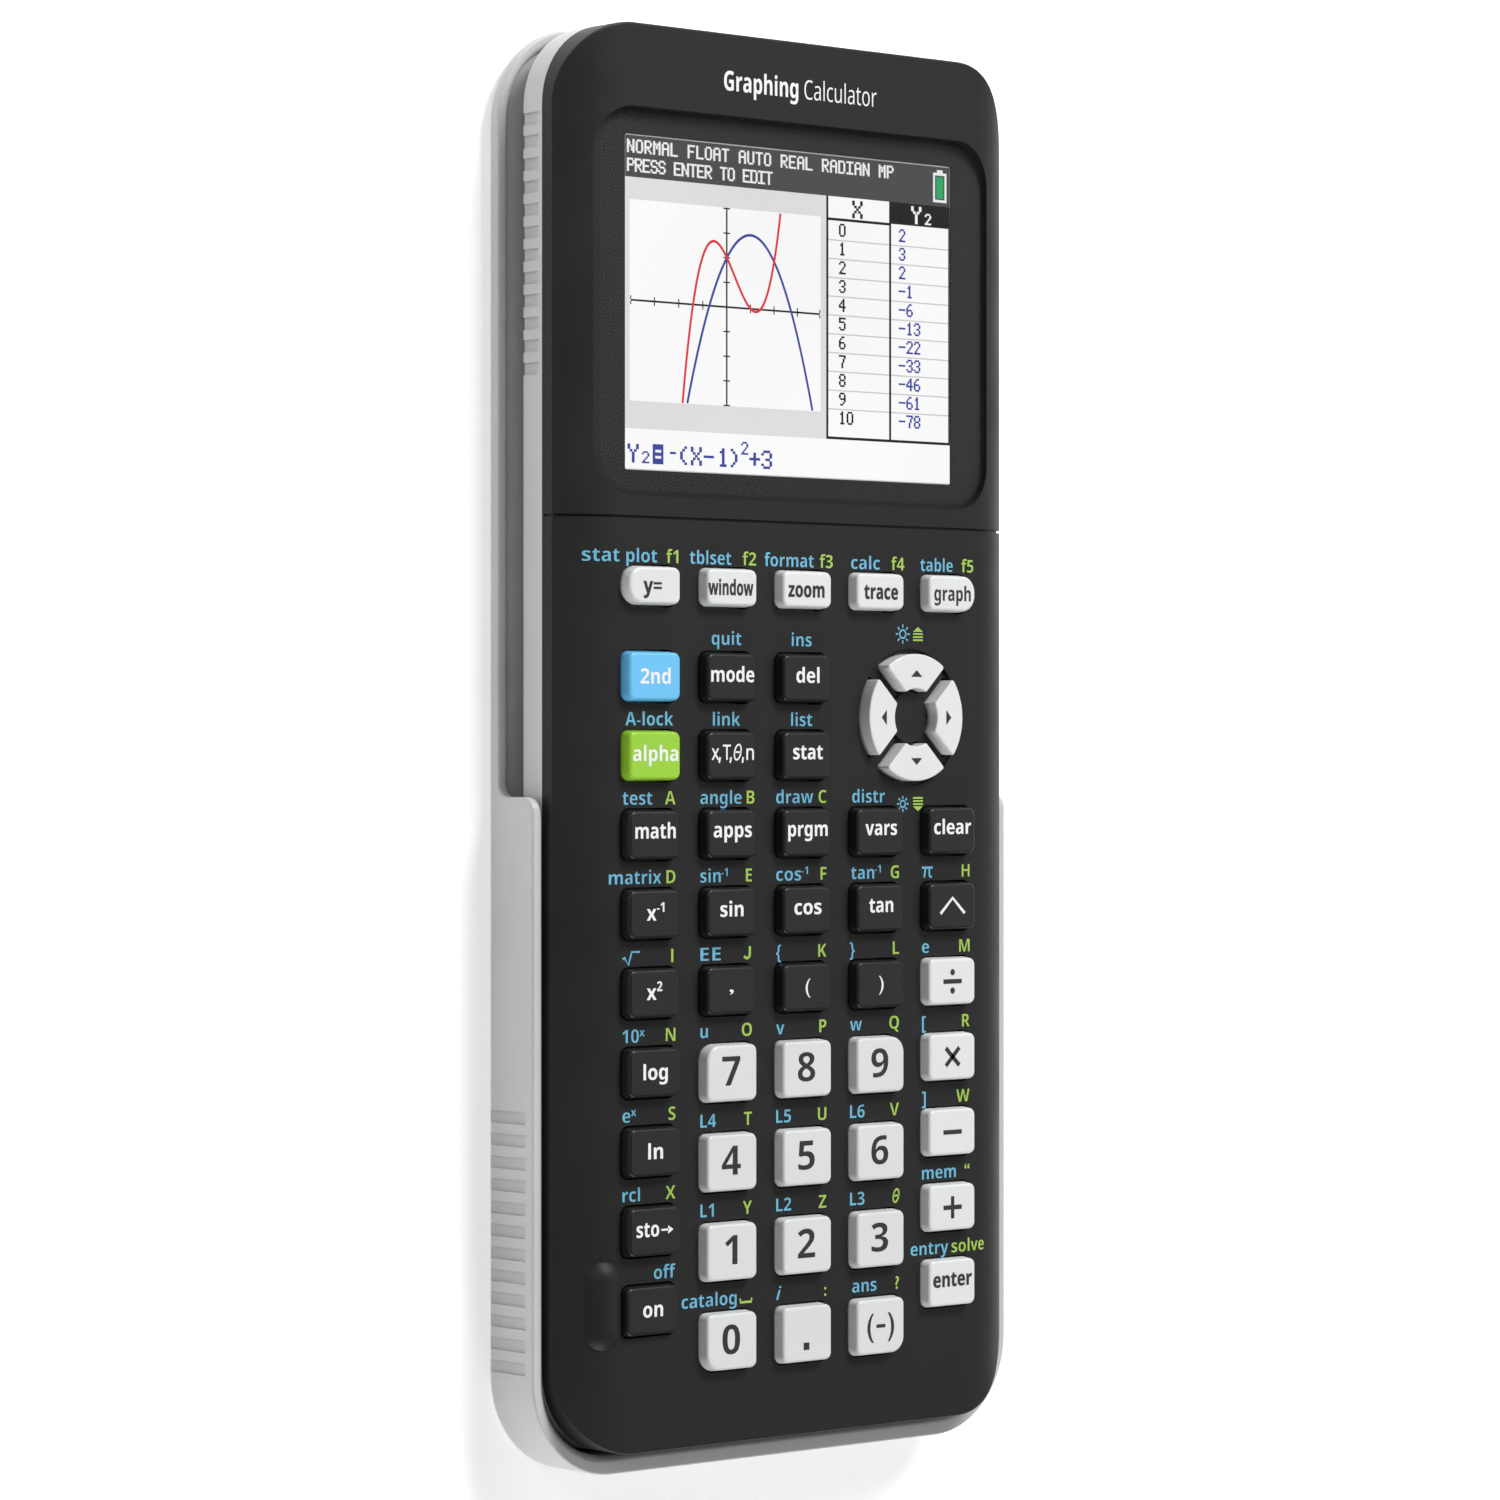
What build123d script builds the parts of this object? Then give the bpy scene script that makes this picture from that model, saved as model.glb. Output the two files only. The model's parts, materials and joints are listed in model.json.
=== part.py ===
from build123d import *
import math
import os

# ---------------------------------------------------------------------------
# Graphing calculator with a slide cover, in millimetres.
# Origin: on the cover's flat back, under the middle of the whole object.
# +X to the right of the keys, +Y towards the display end, +Z out of the face.
# ---------------------------------------------------------------------------

# Slide cover (tray on the back)
COVER_WIDTH = 83.8
COVER_LENGTH = 188.1
COVER_CORNER = 13.0
COVER_FLOOR = 1.7
COVER_WALL = 1.9
COVER_END_WALL = 2.6
COVER_BACK_ROUND = 1.9
RIM_OUTER_ROUND = 0.3
RIM_INNER_ROUND = 1.0
LOW_RIM_Z = 2.8
HIGH_RIM_Z = 10.0
STEP_CONCAVE = 1.8
STEP_CONVEX = 2.0

# Calculator shells: both share one outline
SHELL_WIDTH = 79.4
SHELL_LENGTH = 185.0
SHELL_CORNER = 11.0
BACK_Z = 3.2
UNDERCUT_TOP_Z = 5.3
PARTING_Z = 9.1
CREASE_Z = 11.2
FACE_Z = 14.4
FLAT_HALF = 30.0
FACE_WALL = 1.8
REAR_WALL = 2.0
REAR_FLOOR = 1.6
UNDERCUT_INSET = 3.0
HOLLOW_INSET = 3.5
HOLLOW_SLOPE = 1.1
CREASE_ROUND = 0.3
LIP_DROP = 1.2
LIP_RISE = 1.0
LIP_THICK = 0.85
LIP_GAP = 0.15

# The shells reach the cover's display end, and stop short of its key end
SHELL_Y = (COVER_LENGTH - SHELL_LENGTH) / 2
STEP_Y = SHELL_Y - 7.6

# Rails inside the cover's high walls, and the grooves they run in
RAIL_REACH = 0.9
RAIL_Z = (6.5, 7.7)
RAIL_Y = (SHELL_Y - 78.0, SHELL_Y - 15.0)
RAIL_CLEARANCE = 0.3

# Grip notches: twelve on each side of the cover and of the rear housing, open towards the back
NOTCH_COUNT = 12
NOTCH_PITCH = 2.93
NOTCH_TALL = 1.6
NOTCH_DEPTH = 0.45
COVER_NOTCH_Y = SHELL_Y - 65.0
COVER_NOTCH_Z = (0.3, 8.4)
REAR_NOTCH_Y = SHELL_Y + 63.7
REAR_NOTCH_Z = (4.9, 8.4)

# Display
WINDOW_WIDTH = 68.8
WINDOW_HEIGHT = 49.4
WINDOW_CORNER = 5.8
WINDOW_THICK = 1.2
WINDOW_TOP_Z = 14.0
WINDOW_GAP = 0.5
WINDOW_EDGE = 0.3
WINDOW_Y = SHELL_Y + 56.5
LEDGE_THICK = 0.8
LEDGE_REACH = 2.2
PANEL_WIDTH = 59.4
PANEL_HEIGHT = 45.0
PANEL_TOP_Z = 12.7
PANEL_GAP = 0.3
MODULE_WIDTH = 64.4
MODULE_HEIGHT = 49.4
MODULE_Z = (9.8, 11.7)
TAIL_SIZE = (18.0, 6.0, 0.15)

# Seam line that crosses the face between the display and the keys
SEAM_Y = SHELL_Y + 28.6
SEAM_WIDTH = 0.35
SEAM_DEPTH = 0.4

# Keys
KEY_TOP_Z = 15.9
KEY_WIDTH = 8.5
KEY_COLUMN = 13.18
KEY_FLARE = 0.2
KEY_GAP = 0.25
KEY_CORNER = 0.9
KEY_EDGE = 0.4
KEY_END_CORNER = 2.1
FLANGE_REACH = 0.6
FLANGE_Z = (11.8, 12.4)
GRAPH_KEY_HEIGHT = 4.65
FUNCTION_KEY_HEIGHT = 6.1
NUMBER_KEY_HEIGHT = 7.26
GRAPH_ROW_Y = SHELL_Y + 19.73
FUNCTION_ROW_Y = SHELL_Y + 7.97
FUNCTION_PITCH = 10.25
NUMBER_ROW_Y = SHELL_Y - 43.85
NUMBER_PITCH = 11.715
ON_KEY_DROP = 0.5

# Arrow keys: four wedges of one ring
ARROW_CENTRE = (19.7, SHELL_Y + 2.85)
ARROW_OUTER = 8.6
ARROW_INNER = 3.9
ARROW_HALF_GAP = 1.1
ARROW_SUNK = 0.5
ARROW_CORNER = 0.35
WELL_RADIUS = 9.3
ISLAND_RADIUS = 3.4

# Low rounded ridge beside the on key
GUARD_OUT = 6.6
GUARD_UP = 0.9
GUARD_RADIUS = 3.5
GUARD_LENGTH = 6.5
GUARD_RISE = 0.7

# Keypad mat
MAT_WIDTH = 62.4
MAT_LENGTH = 107.9
MAT_CORNER = 3.0
MAT_Y = SHELL_Y - 31.35
MAT_SHEET = 0.6
DOME_RADIUS = 1.9
DOME_SLOPE = 18
DOME_TOP_Z = FLANGE_Z[0] - 0.05

# Circuit board. Each chip on its underside: place, width, length and thickness
BOARD_Z = (8.6, 9.6)
BOARD_WIDTH = 72.4
BOARD_LENGTH = 178.6
BOARD_CORNER = 8.0
PROCESSOR = (-8.0, 30.0, 14.0, 14.0, 1.1)
MEMORY = (12.0, 30.0, 10.0, 8.0, 0.9)
CHARGER = (22.0, 66.0, 5.0, 5.0, 0.8)
COIL = (-12.0, 62.0, 7.0, 5.0, 1.2)
BATTERY_SOCKET = (0.0, 6.0, 9.0, 4.0, 2.6)
TAIL_SOCKET = (22.0, 2.6, 1.0)
POST_RADIUS = 2.0
POST_PLACES = [
    (0.0, 84.0),
    (-28.0, 60.0),
    (28.0, 60.0),
    (-28.0, 12.0),
    (28.0, 12.0),
    (-28.0, -78.0),
    (28.0, -78.0),
]

# Battery and its door
BATTERY = (46.0, 58.0, 3.7)
BATTERY_Y = SHELL_Y - 30.0
BATTERY_Z = 4.5
DOOR_THICK = 1.1
DOOR_WIDTH = 48.2
DOOR_LENGTH = 67.2
DOOR_Y = BATTERY_Y - 3.6
DOOR_SCREW_Y = BATTERY_Y - 33.4
DOOR_GAP = 0.2
DOOR_CORNER = 1.8
DOOR_BOSS = 4.2
DOOR_DISH = 3.0
DISH_DEEP = 1.4
BATTERY_ROUND = 1.4
BATTERY_PLAY = 0.6
BATTERY_WALL = 1.2

# USB socket in the right side
USB_Y = SHELL_Y + 37.5
USB_SIZE = (7.0, 7.7, 3.9)
USB_Z = 8.85
USB_METAL = 0.4
USB_INSET = 0.4
USB_TONGUE = (5.4, 4.6, 1.0)
USB_HOLE_GAP = 0.25

# Screws
SCREW_SHANK = 1.0
SCREW_HEAD = 1.9
SCREW_HEAD_THICK = 1.3
SCREW_LENGTH = 6.4
DOOR_SCREW_LENGTH = 3.0
SOCKET_RADIUS = 0.85
SOCKET_DEEP = 0.8
PILOT_PLAY = 0.05
HOLE_PLAY = 0.2
BOSS_RADIUS = 2.8
BOSS_GAP = 0.1
HEAD_SEAT_Z = 5.0
DOOR_SEAT_Z = BACK_Z + SCREW_HEAD_THICK + 0.2
SCREW_PLACES = [
    (side * x, SHELL_Y + y)
    for side in (-1, 1)
    for x, y in ((34.6, -78.0), (34.6, 23.6), (27.0, 87.2))
]

COLUMNS = [KEY_COLUMN * i for i in (-2, -1, 0, 1, 2)]

# Long enough to cut right through whatever is in the way
THROUGH = 20.0


def face_arc_radius():
    """Radius of the arc that rolls the face down to the crease at each side."""
    run = SHELL_WIDTH / 2 - FLAT_HALF
    drop = FACE_Z - CREASE_Z
    return (run * run + drop * drop) / (2 * drop)


def across(y):
    """Plane that stands across the calculator at this Y: its x is X and its y is Z."""
    return Plane(origin=(0, y, 0), x_dir=(1, 0, 0), z_dir=(0, -1, 0))


def face_section(inset, bottom_z, past=0):
    """Cross-section of the front housing, pulled in by this much and closed at bottom_z.

    Its curve carries on past the sides by the last number, for cutting to the outline later.
    """
    radius = face_arc_radius()
    half = SHELL_WIDTH / 2 - inset + past
    arc_centre_z = FACE_Z - radius
    drop_z = arc_centre_z + math.sqrt((radius - inset) ** 2 - (half - FLAT_HALF) ** 2)
    middle = (half + FLAT_HALF) / 2
    middle_z = arc_centre_z + math.sqrt((radius - inset) ** 2 - (middle - FLAT_HALF) ** 2)
    with BuildLine() as line:
        Line((-FLAT_HALF, FACE_Z - inset), (FLAT_HALF, FACE_Z - inset))
        ThreePointArc((FLAT_HALF, FACE_Z - inset), (middle, middle_z), (half, drop_z))
        Line((half, drop_z), (half, bottom_z))
        Line((half, bottom_z), (-half, bottom_z))
        Line((-half, bottom_z), (-half, drop_z))
        ThreePointArc((-half, drop_z), (-middle, middle_z), (-FLAT_HALF, FACE_Z - inset))
    return line.line


def shell_plan(z, inset):
    """Outline of the calculator seen from above, pulled in by this much."""
    place = Plane(origin=(0, SHELL_Y, z))
    with BuildSketch(place) as plan:
        RectangleRounded(SHELL_WIDTH - 2 * inset, SHELL_LENGTH - 2 * inset, SHELL_CORNER - inset)
    return plan.sketch


# ---------------------------------------------------------------------------
# Keys: where each one is and how large
# ---------------------------------------------------------------------------

def key_list():
    """Name, centre, height and the corners that are rounder than the rest, of each square key."""
    keys = []
    graph_row = ("y_equals", "window", "zoom", "trace", "graph")
    for name, x in zip(graph_row, COLUMNS):
        keys.append((name, x, GRAPH_ROW_Y, GRAPH_KEY_HEIGHT, ""))
    function_rows = [
        ("second", "mode", "del"),
        ("alpha", "variable", "stat"),
        ("math", "apps", "prgm", "vars", "clear"),
        ("reciprocal", "sin", "cos", "tan", "power"),
        ("square", "comma", "open_bracket", "close_bracket", "divide"),
        ("log", "", "", "", "multiply"),
        ("ln", "", "", "", "minus"),
        ("sto", "", "", "", "plus"),
        ("on", "", "", "", "enter"),
    ]
    for row, names in enumerate(function_rows):
        y = FUNCTION_ROW_Y - row * FUNCTION_PITCH
        for name, x in zip(names, COLUMNS):
            if name:
                keys.append((name, x, y, FUNCTION_KEY_HEIGHT, ""))
    number_rows = [("7", "8", "9"), ("4", "5", "6"), ("1", "2", "3"), ("0", "point", "negative")]
    for row, names in enumerate(number_rows):
        y = NUMBER_ROW_Y - row * NUMBER_PITCH
        for name, x in zip(names, COLUMNS[1:4]):
            keys.append((name, x, y, NUMBER_KEY_HEIGHT, ""))
    rounder = {"y_equals": "AB", "graph": "CD", "7": "B", "0": "A", "negative": "D", "9": "C"}
    return [(n, x, y, h, rounder.get(n, c)) for n, x, y, h, c in keys]


def key_plan(x, y, height, corners, z, grow):
    """Plan of a square key. Corners A and B are lower and upper left, D and C are on the right."""
    signs = {"A": (-1, -1), "B": (-1, 1), "C": (1, 1), "D": (1, -1)}
    with BuildSketch(Plane(origin=(x, y, z))) as plan:
        Rectangle(KEY_WIDTH + 2 * grow, height + 2 * grow)
        for corner, (sx, sy) in signs.items():
            radius = (KEY_END_CORNER if corner in corners else KEY_CORNER) + grow
            vertex = plan.vertices().sort_by_distance((x + sx * 99, y + sy * 99, z))[0]
            fillet(vertex, radius)
    return plan.sketch


ARROWS = {"right": 0, "up": 90, "left": 180, "down": 270}


def arrow_plan(turn, z, grow):
    """Plan of one wedge of the arrow ring, bounded by two arcs and two diagonals."""
    root = math.sqrt(2) * (ARROW_HALF_GAP - grow)
    ends = []
    for radius in (ARROW_OUTER + grow, ARROW_INNER - grow):
        x = (root + math.sqrt(2 * radius * radius - root * root)) / 2
        ends.append((radius, x, x - root))
    (outer, outer_x, outer_y), (inner, inner_x, inner_y) = ends
    place = Plane(origin=(*ARROW_CENTRE, z)).rotated((0, 0, turn))
    with BuildSketch(place) as plan:
        with BuildLine():
            ThreePointArc((outer_x, -outer_y), (outer, 0), (outer_x, outer_y))
            Line((outer_x, outer_y), (inner_x, inner_y))
            ThreePointArc((inner_x, inner_y), (inner, 0), (inner_x, -inner_y))
            Line((inner_x, -inner_y), (outer_x, -outer_y))
        make_face()
        fillet(plan.vertices(), ARROW_CORNER)
    return plan.sketch


def square_key(name, x, y, height, corners):
    top_z = KEY_TOP_Z - (ON_KEY_DROP if name == "on" else 0)
    neck = key_plan(x, y, height, corners, FLANGE_Z[1], KEY_FLARE)
    waist = key_plan(x, y, height, corners, FACE_Z, KEY_FLARE)
    crown = key_plan(x, y, height, corners, top_z, 0)
    flange = key_plan(x, y, height, corners, FLANGE_Z[0], KEY_FLARE + FLANGE_REACH)
    with BuildPart() as key:
        loft([waist, crown], ruled=True)
        fillet(key.edges().group_by(Axis.Z)[-1], KEY_EDGE)
        extrude(neck, amount=FACE_Z - FLANGE_Z[1])
        extrude(flange, amount=FLANGE_Z[1] - FLANGE_Z[0])
    return key


def arrow_key(turn):
    cap = arrow_plan(turn, FLANGE_Z[1], 0)
    flange = arrow_plan(turn, FLANGE_Z[0], ARROW_HALF_GAP / 2)
    with BuildPart() as key:
        extrude(cap, amount=KEY_TOP_Z - FLANGE_Z[1])
        fillet(key.edges().group_by(Axis.Z)[-1], KEY_EDGE / 2)
        extrude(flange, amount=FLANGE_Z[1] - FLANGE_Z[0])
    return key


# ---------------------------------------------------------------------------
# Front housing
# ---------------------------------------------------------------------------

def usb_opening():
    """Slot through the right side round the USB socket."""
    length, width, height = USB_SIZE
    with BuildPart(mode=Mode.PRIVATE) as opening:
        with Locations((SHELL_WIDTH / 2, USB_Y, USB_Z)):
            Box(length + 1, width + 2 * USB_HOLE_GAP, height + USB_HOLE_GAP)
    return opening.part


def make_front_housing():
    with BuildPart() as front:
        with BuildSketch(across(SHELL_Y + SHELL_LENGTH / 2)):
            with BuildLine():
                add(face_section(0, PARTING_Z, past=2))
            make_face()
        extrude(amount=SHELL_LENGTH)
        extrude(shell_plan(PARTING_Z, 0), amount=THROUGH, mode=Mode.INTERSECT)
        fillet(front.edges().filter_by_position(Axis.Z, CREASE_Z - 0.1, THROUGH), CREASE_ROUND)

        # Hollow under the face, following its curve, around the window's ledge and the bosses
        ledge_z = WINDOW_TOP_Z - WINDOW_THICK
        with BuildPart(mode=Mode.PRIVATE) as hollow:
            with BuildSketch(across(SHELL_Y + SHELL_LENGTH / 2)):
                with BuildLine():
                    add(face_section(FACE_WALL, PARTING_Z - 1, past=2))
                make_face()
            extrude(amount=SHELL_LENGTH)
            extrude(shell_plan(PARTING_Z - 1, FACE_WALL), amount=THROUGH, mode=Mode.INTERSECT)
            with BuildSketch(Plane(origin=(0, WINDOW_Y, ledge_z - LEDGE_THICK))):
                RectangleRounded(
                    WINDOW_WIDTH + 2 * LEDGE_REACH,
                    WINDOW_HEIGHT + 2 * LEDGE_REACH,
                    WINDOW_CORNER + LEDGE_REACH - 0.2,
                )
            extrude(amount=THROUGH, mode=Mode.SUBTRACT)
            for x, y in SCREW_PLACES:
                with BuildSketch(Plane(origin=(x, y, PARTING_Z))):
                    Circle(BOSS_RADIUS)
                extrude(amount=THROUGH, mode=Mode.SUBTRACT)
        add(hollow.part, mode=Mode.SUBTRACT)

        # Recess for the window, and the opening that the panel looks through
        with BuildSketch(Plane(origin=(0, WINDOW_Y, ledge_z))):
            RectangleRounded(
                WINDOW_WIDTH + 2 * WINDOW_GAP,
                WINDOW_HEIGHT + 2 * WINDOW_GAP,
                WINDOW_CORNER + WINDOW_GAP,
            )
        extrude(amount=THROUGH, mode=Mode.SUBTRACT)
        with BuildSketch(Plane(origin=(0, WINDOW_Y, ledge_z))):
            Rectangle(PANEL_WIDTH + 2 * PANEL_GAP, PANEL_HEIGHT + 2 * PANEL_GAP)
        extrude(amount=-THROUGH, mode=Mode.SUBTRACT)

        # Guard beside the on key: the top of a long rounded bar that is sunk in the face
        guard_x = COLUMNS[0] - GUARD_OUT
        guard_y = FUNCTION_ROW_Y - 8 * FUNCTION_PITCH + GUARD_UP
        guard_z = FACE_Z + GUARD_RISE - GUARD_RADIUS
        guard_root = FACE_Z - FACE_WALL + 0.2
        with BuildPart(mode=Mode.PRIVATE) as guard:
            with Locations((guard_x, guard_y, guard_z)):
                Cylinder(GUARD_RADIUS, GUARD_LENGTH, rotation=(90, 0, 0))
            for end in (-1, 1):
                with Locations((guard_x, guard_y + end * GUARD_LENGTH / 2, guard_z)):
                    Sphere(GUARD_RADIUS)
            with Locations((guard_x, guard_y, guard_root + THROUGH / 2)):
                Box(THROUGH, THROUGH, THROUGH, mode=Mode.INTERSECT)
        add(guard.part)

        # Shallow round well around the arrow keys, with an island in its middle
        with BuildSketch(Plane(origin=(*ARROW_CENTRE, FACE_Z - ARROW_SUNK))):
            Circle(WELL_RADIUS)
            Circle(ISLAND_RADIUS, mode=Mode.SUBTRACT)
        extrude(amount=THROUGH, mode=Mode.SUBTRACT)

        # Key holes
        for name, x, y, height, corners in key_list():
            hole = key_plan(x, y, height, corners, PARTING_Z, KEY_FLARE + KEY_GAP)
            extrude(hole, amount=THROUGH, mode=Mode.SUBTRACT)
        for turn in ARROWS.values():
            extrude(arrow_plan(turn, PARTING_Z, KEY_GAP), amount=THROUGH, mode=Mode.SUBTRACT)

        # Pilot holes for the screws
        for x, y in SCREW_PLACES:
            with BuildSketch(Plane(origin=(x, y, PARTING_Z - 1))):
                Circle(SCREW_SHANK + PILOT_PLAY)
            extrude(amount=HEAD_SEAT_Z + SCREW_LENGTH + 0.3 - PARTING_Z + 1, mode=Mode.SUBTRACT)

        # Seam line across the face and down both sides
        with BuildSketch(across(SEAM_Y + SEAM_WIDTH / 2)):
            with BuildLine():
                add(face_section(0, PARTING_Z - 1))
            make_face()
            with BuildLine():
                add(face_section(SEAM_DEPTH, PARTING_Z - 2))
            make_face(mode=Mode.SUBTRACT)
        extrude(amount=SEAM_WIDTH, mode=Mode.SUBTRACT)

        # Upper half of the USB opening
        add(usb_opening(), mode=Mode.SUBTRACT)
    return front


# ---------------------------------------------------------------------------
# Rear housing
# ---------------------------------------------------------------------------

def grip_notches(half_width, middle_y, low_z, high_z):
    """Row of blocks down both sides, to be cut away as shallow grooves."""
    with BuildPart(mode=Mode.PRIVATE) as notches:
        with BuildSketch(Plane(origin=(0, middle_y, low_z))):
            for side in (-1, 1):
                with Locations((side * half_width, 0)):
                    with GridLocations(1, NOTCH_PITCH, 1, NOTCH_COUNT):
                        Rectangle(2 * NOTCH_DEPTH, NOTCH_TALL)
        extrude(amount=high_z - low_z)
    return notches.part


def make_rear_housing():
    with BuildPart() as rear:
        # Outer shape: undercut towards the back, then straight sides up to the parting line
        loft([shell_plan(BACK_Z, UNDERCUT_INSET), shell_plan(UNDERCUT_TOP_Z, 0)], ruled=True)
        extrude(shell_plan(UNDERCUT_TOP_Z, 0), amount=PARTING_Z - UNDERCUT_TOP_Z)

        # Hollow, with a wall that follows the undercut
        floor_z = BACK_Z + REAR_FLOOR
        straight_z = floor_z + HOLLOW_SLOPE
        sloped = [shell_plan(floor_z, HOLLOW_INSET), shell_plan(straight_z, REAR_WALL)]
        loft(sloped, ruled=True, mode=Mode.SUBTRACT)
        extrude(shell_plan(straight_z, REAR_WALL), amount=THROUGH, mode=Mode.SUBTRACT)

        # Lip that locates the front housing from inside, cut away round the front housing's bosses
        lip_z = PARTING_Z - LIP_DROP
        lip_inset = FACE_WALL + LIP_GAP
        extrude(shell_plan(lip_z, lip_inset), amount=LIP_DROP + LIP_RISE)
        extrude(shell_plan(lip_z, lip_inset + LIP_THICK), amount=THROUGH, mode=Mode.SUBTRACT)
        for x, y in SCREW_PLACES:
            with BuildSketch(Plane(origin=(x, y, PARTING_Z - BOSS_GAP))):
                Circle(BOSS_RADIUS + HOLE_PLAY)
            extrude(amount=THROUGH, mode=Mode.SUBTRACT)

        # Walls round the battery
        bay_width = BATTERY[0] + BATTERY_PLAY
        bay_length = BATTERY[1] + BATTERY_PLAY
        with BuildSketch(Plane(origin=(0, BATTERY_Y, floor_z))):
            Rectangle(bay_width + 2 * BATTERY_WALL, bay_length + 2 * BATTERY_WALL)
            Rectangle(bay_width, bay_length, mode=Mode.SUBTRACT)
        extrude(amount=BOARD_Z[0] - 0.4 - floor_z)

        # Bosses: battery door screw, housing screws, and posts that carry the circuit board
        root_z = floor_z - 0.2
        with BuildSketch(Plane(origin=(0, DOOR_SCREW_Y, root_z))):
            Circle(DOOR_BOSS)
        extrude(amount=BOARD_Z[0] - 0.4 - root_z)
        for x, y in SCREW_PLACES:
            with BuildSketch(Plane(origin=(x, y, root_z))):
                Circle(BOSS_RADIUS)
            extrude(amount=PARTING_Z - BOSS_GAP - root_z)
        for x, y in POST_PLACES:
            with BuildSketch(Plane(origin=(x, SHELL_Y + y, root_z))):
                Circle(POST_RADIUS)
            extrude(amount=BOARD_Z[0] - 0.05 - root_z)

        # Opening for the battery, with the recess that the door sits in
        with BuildSketch(Plane(origin=(0, DOOR_Y, BACK_Z))):
            RectangleRounded(
                DOOR_WIDTH + 2 * DOOR_GAP,
                DOOR_LENGTH + 2 * DOOR_GAP,
                DOOR_CORNER + DOOR_GAP,
            )
        extrude(amount=DOOR_THICK, mode=Mode.SUBTRACT)
        with BuildSketch(Plane(origin=(0, BATTERY_Y, BACK_Z))):
            Rectangle(bay_width, bay_length)
        extrude(amount=REAR_FLOOR + 0.2, mode=Mode.SUBTRACT)
        with BuildSketch(Plane(origin=(0, DOOR_SCREW_Y, BACK_Z))):
            Circle(DOOR_DISH + DOOR_GAP)
        extrude(amount=DOOR_THICK + DISH_DEEP + DOOR_GAP, mode=Mode.SUBTRACT)
        with BuildSketch(Plane(origin=(0, DOOR_SCREW_Y, BACK_Z))):
            Circle(SCREW_SHANK + PILOT_PLAY)
        extrude(amount=BOARD_Z[0] - 0.6 - BACK_Z, mode=Mode.SUBTRACT)

        # Counterbored holes for the housing screws
        for x, y in SCREW_PLACES:
            with BuildSketch(Plane(origin=(x, y, BACK_Z))):
                Circle(SCREW_HEAD + HOLE_PLAY)
            extrude(amount=HEAD_SEAT_Z - BACK_Z, mode=Mode.SUBTRACT)
            with BuildSketch(Plane(origin=(x, y, BACK_Z))):
                Circle(SCREW_SHANK + HOLE_PLAY)
            extrude(amount=THROUGH, mode=Mode.SUBTRACT)

        # Grooves that the cover's rails run in, open at the key end
        groove_low = RAIL_Z[0] - RAIL_CLEARANCE
        groove_high = RAIL_Z[1] + RAIL_CLEARANCE
        groove_deep = COVER_WIDTH / 2 - COVER_WALL - RAIL_REACH - RAIL_CLEARANCE
        groove_end = RAIL_Y[1] + 2.0
        groove_length = groove_end - (SHELL_Y - SHELL_LENGTH / 2) + THROUGH
        with BuildSketch(Plane(origin=(0, groove_end - groove_length / 2, groove_low))):
            for side in (-1, 1):
                with Locations((side * (groove_deep + THROUGH / 2), 0)):
                    Rectangle(THROUGH, groove_length)
        extrude(amount=groove_high - groove_low, mode=Mode.SUBTRACT)

        add(grip_notches(SHELL_WIDTH / 2, REAR_NOTCH_Y, *REAR_NOTCH_Z), mode=Mode.SUBTRACT)

        # Lower half of the USB opening
        add(usb_opening(), mode=Mode.SUBTRACT)
    return rear


def make_battery_cover():
    """Door over the battery: a plate with a dished screw seat at its key end."""
    with BuildPart() as door:
        with BuildSketch(Plane(origin=(0, DOOR_Y, BACK_Z))):
            RectangleRounded(DOOR_WIDTH, DOOR_LENGTH, DOOR_CORNER)
        extrude(amount=DOOR_THICK)
        with BuildSketch(Plane(origin=(0, DOOR_SCREW_Y, BACK_Z))):
            Circle(DOOR_DISH)
        extrude(amount=DOOR_THICK + DISH_DEEP)
        with BuildSketch(Plane(origin=(0, DOOR_SCREW_Y, BACK_Z))):
            Circle(SCREW_HEAD + HOLE_PLAY)
        extrude(amount=DOOR_SEAT_Z - BACK_Z, mode=Mode.SUBTRACT)
        with BuildSketch(Plane(origin=(0, DOOR_SCREW_Y, BACK_Z))):
            Circle(SCREW_SHANK + HOLE_PLAY)
        extrude(amount=THROUGH, mode=Mode.SUBTRACT)
        # Finger grooves at the display end
        with BuildSketch(Plane(origin=(0, DOOR_Y + DOOR_LENGTH / 2 - 8, BACK_Z))):
            with GridLocations(1, 2.0, 1, 4):
                SlotOverall(16, 0.9)
        extrude(amount=0.4, mode=Mode.SUBTRACT)
    return door


# ---------------------------------------------------------------------------
# Slide cover
# ---------------------------------------------------------------------------

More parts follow.
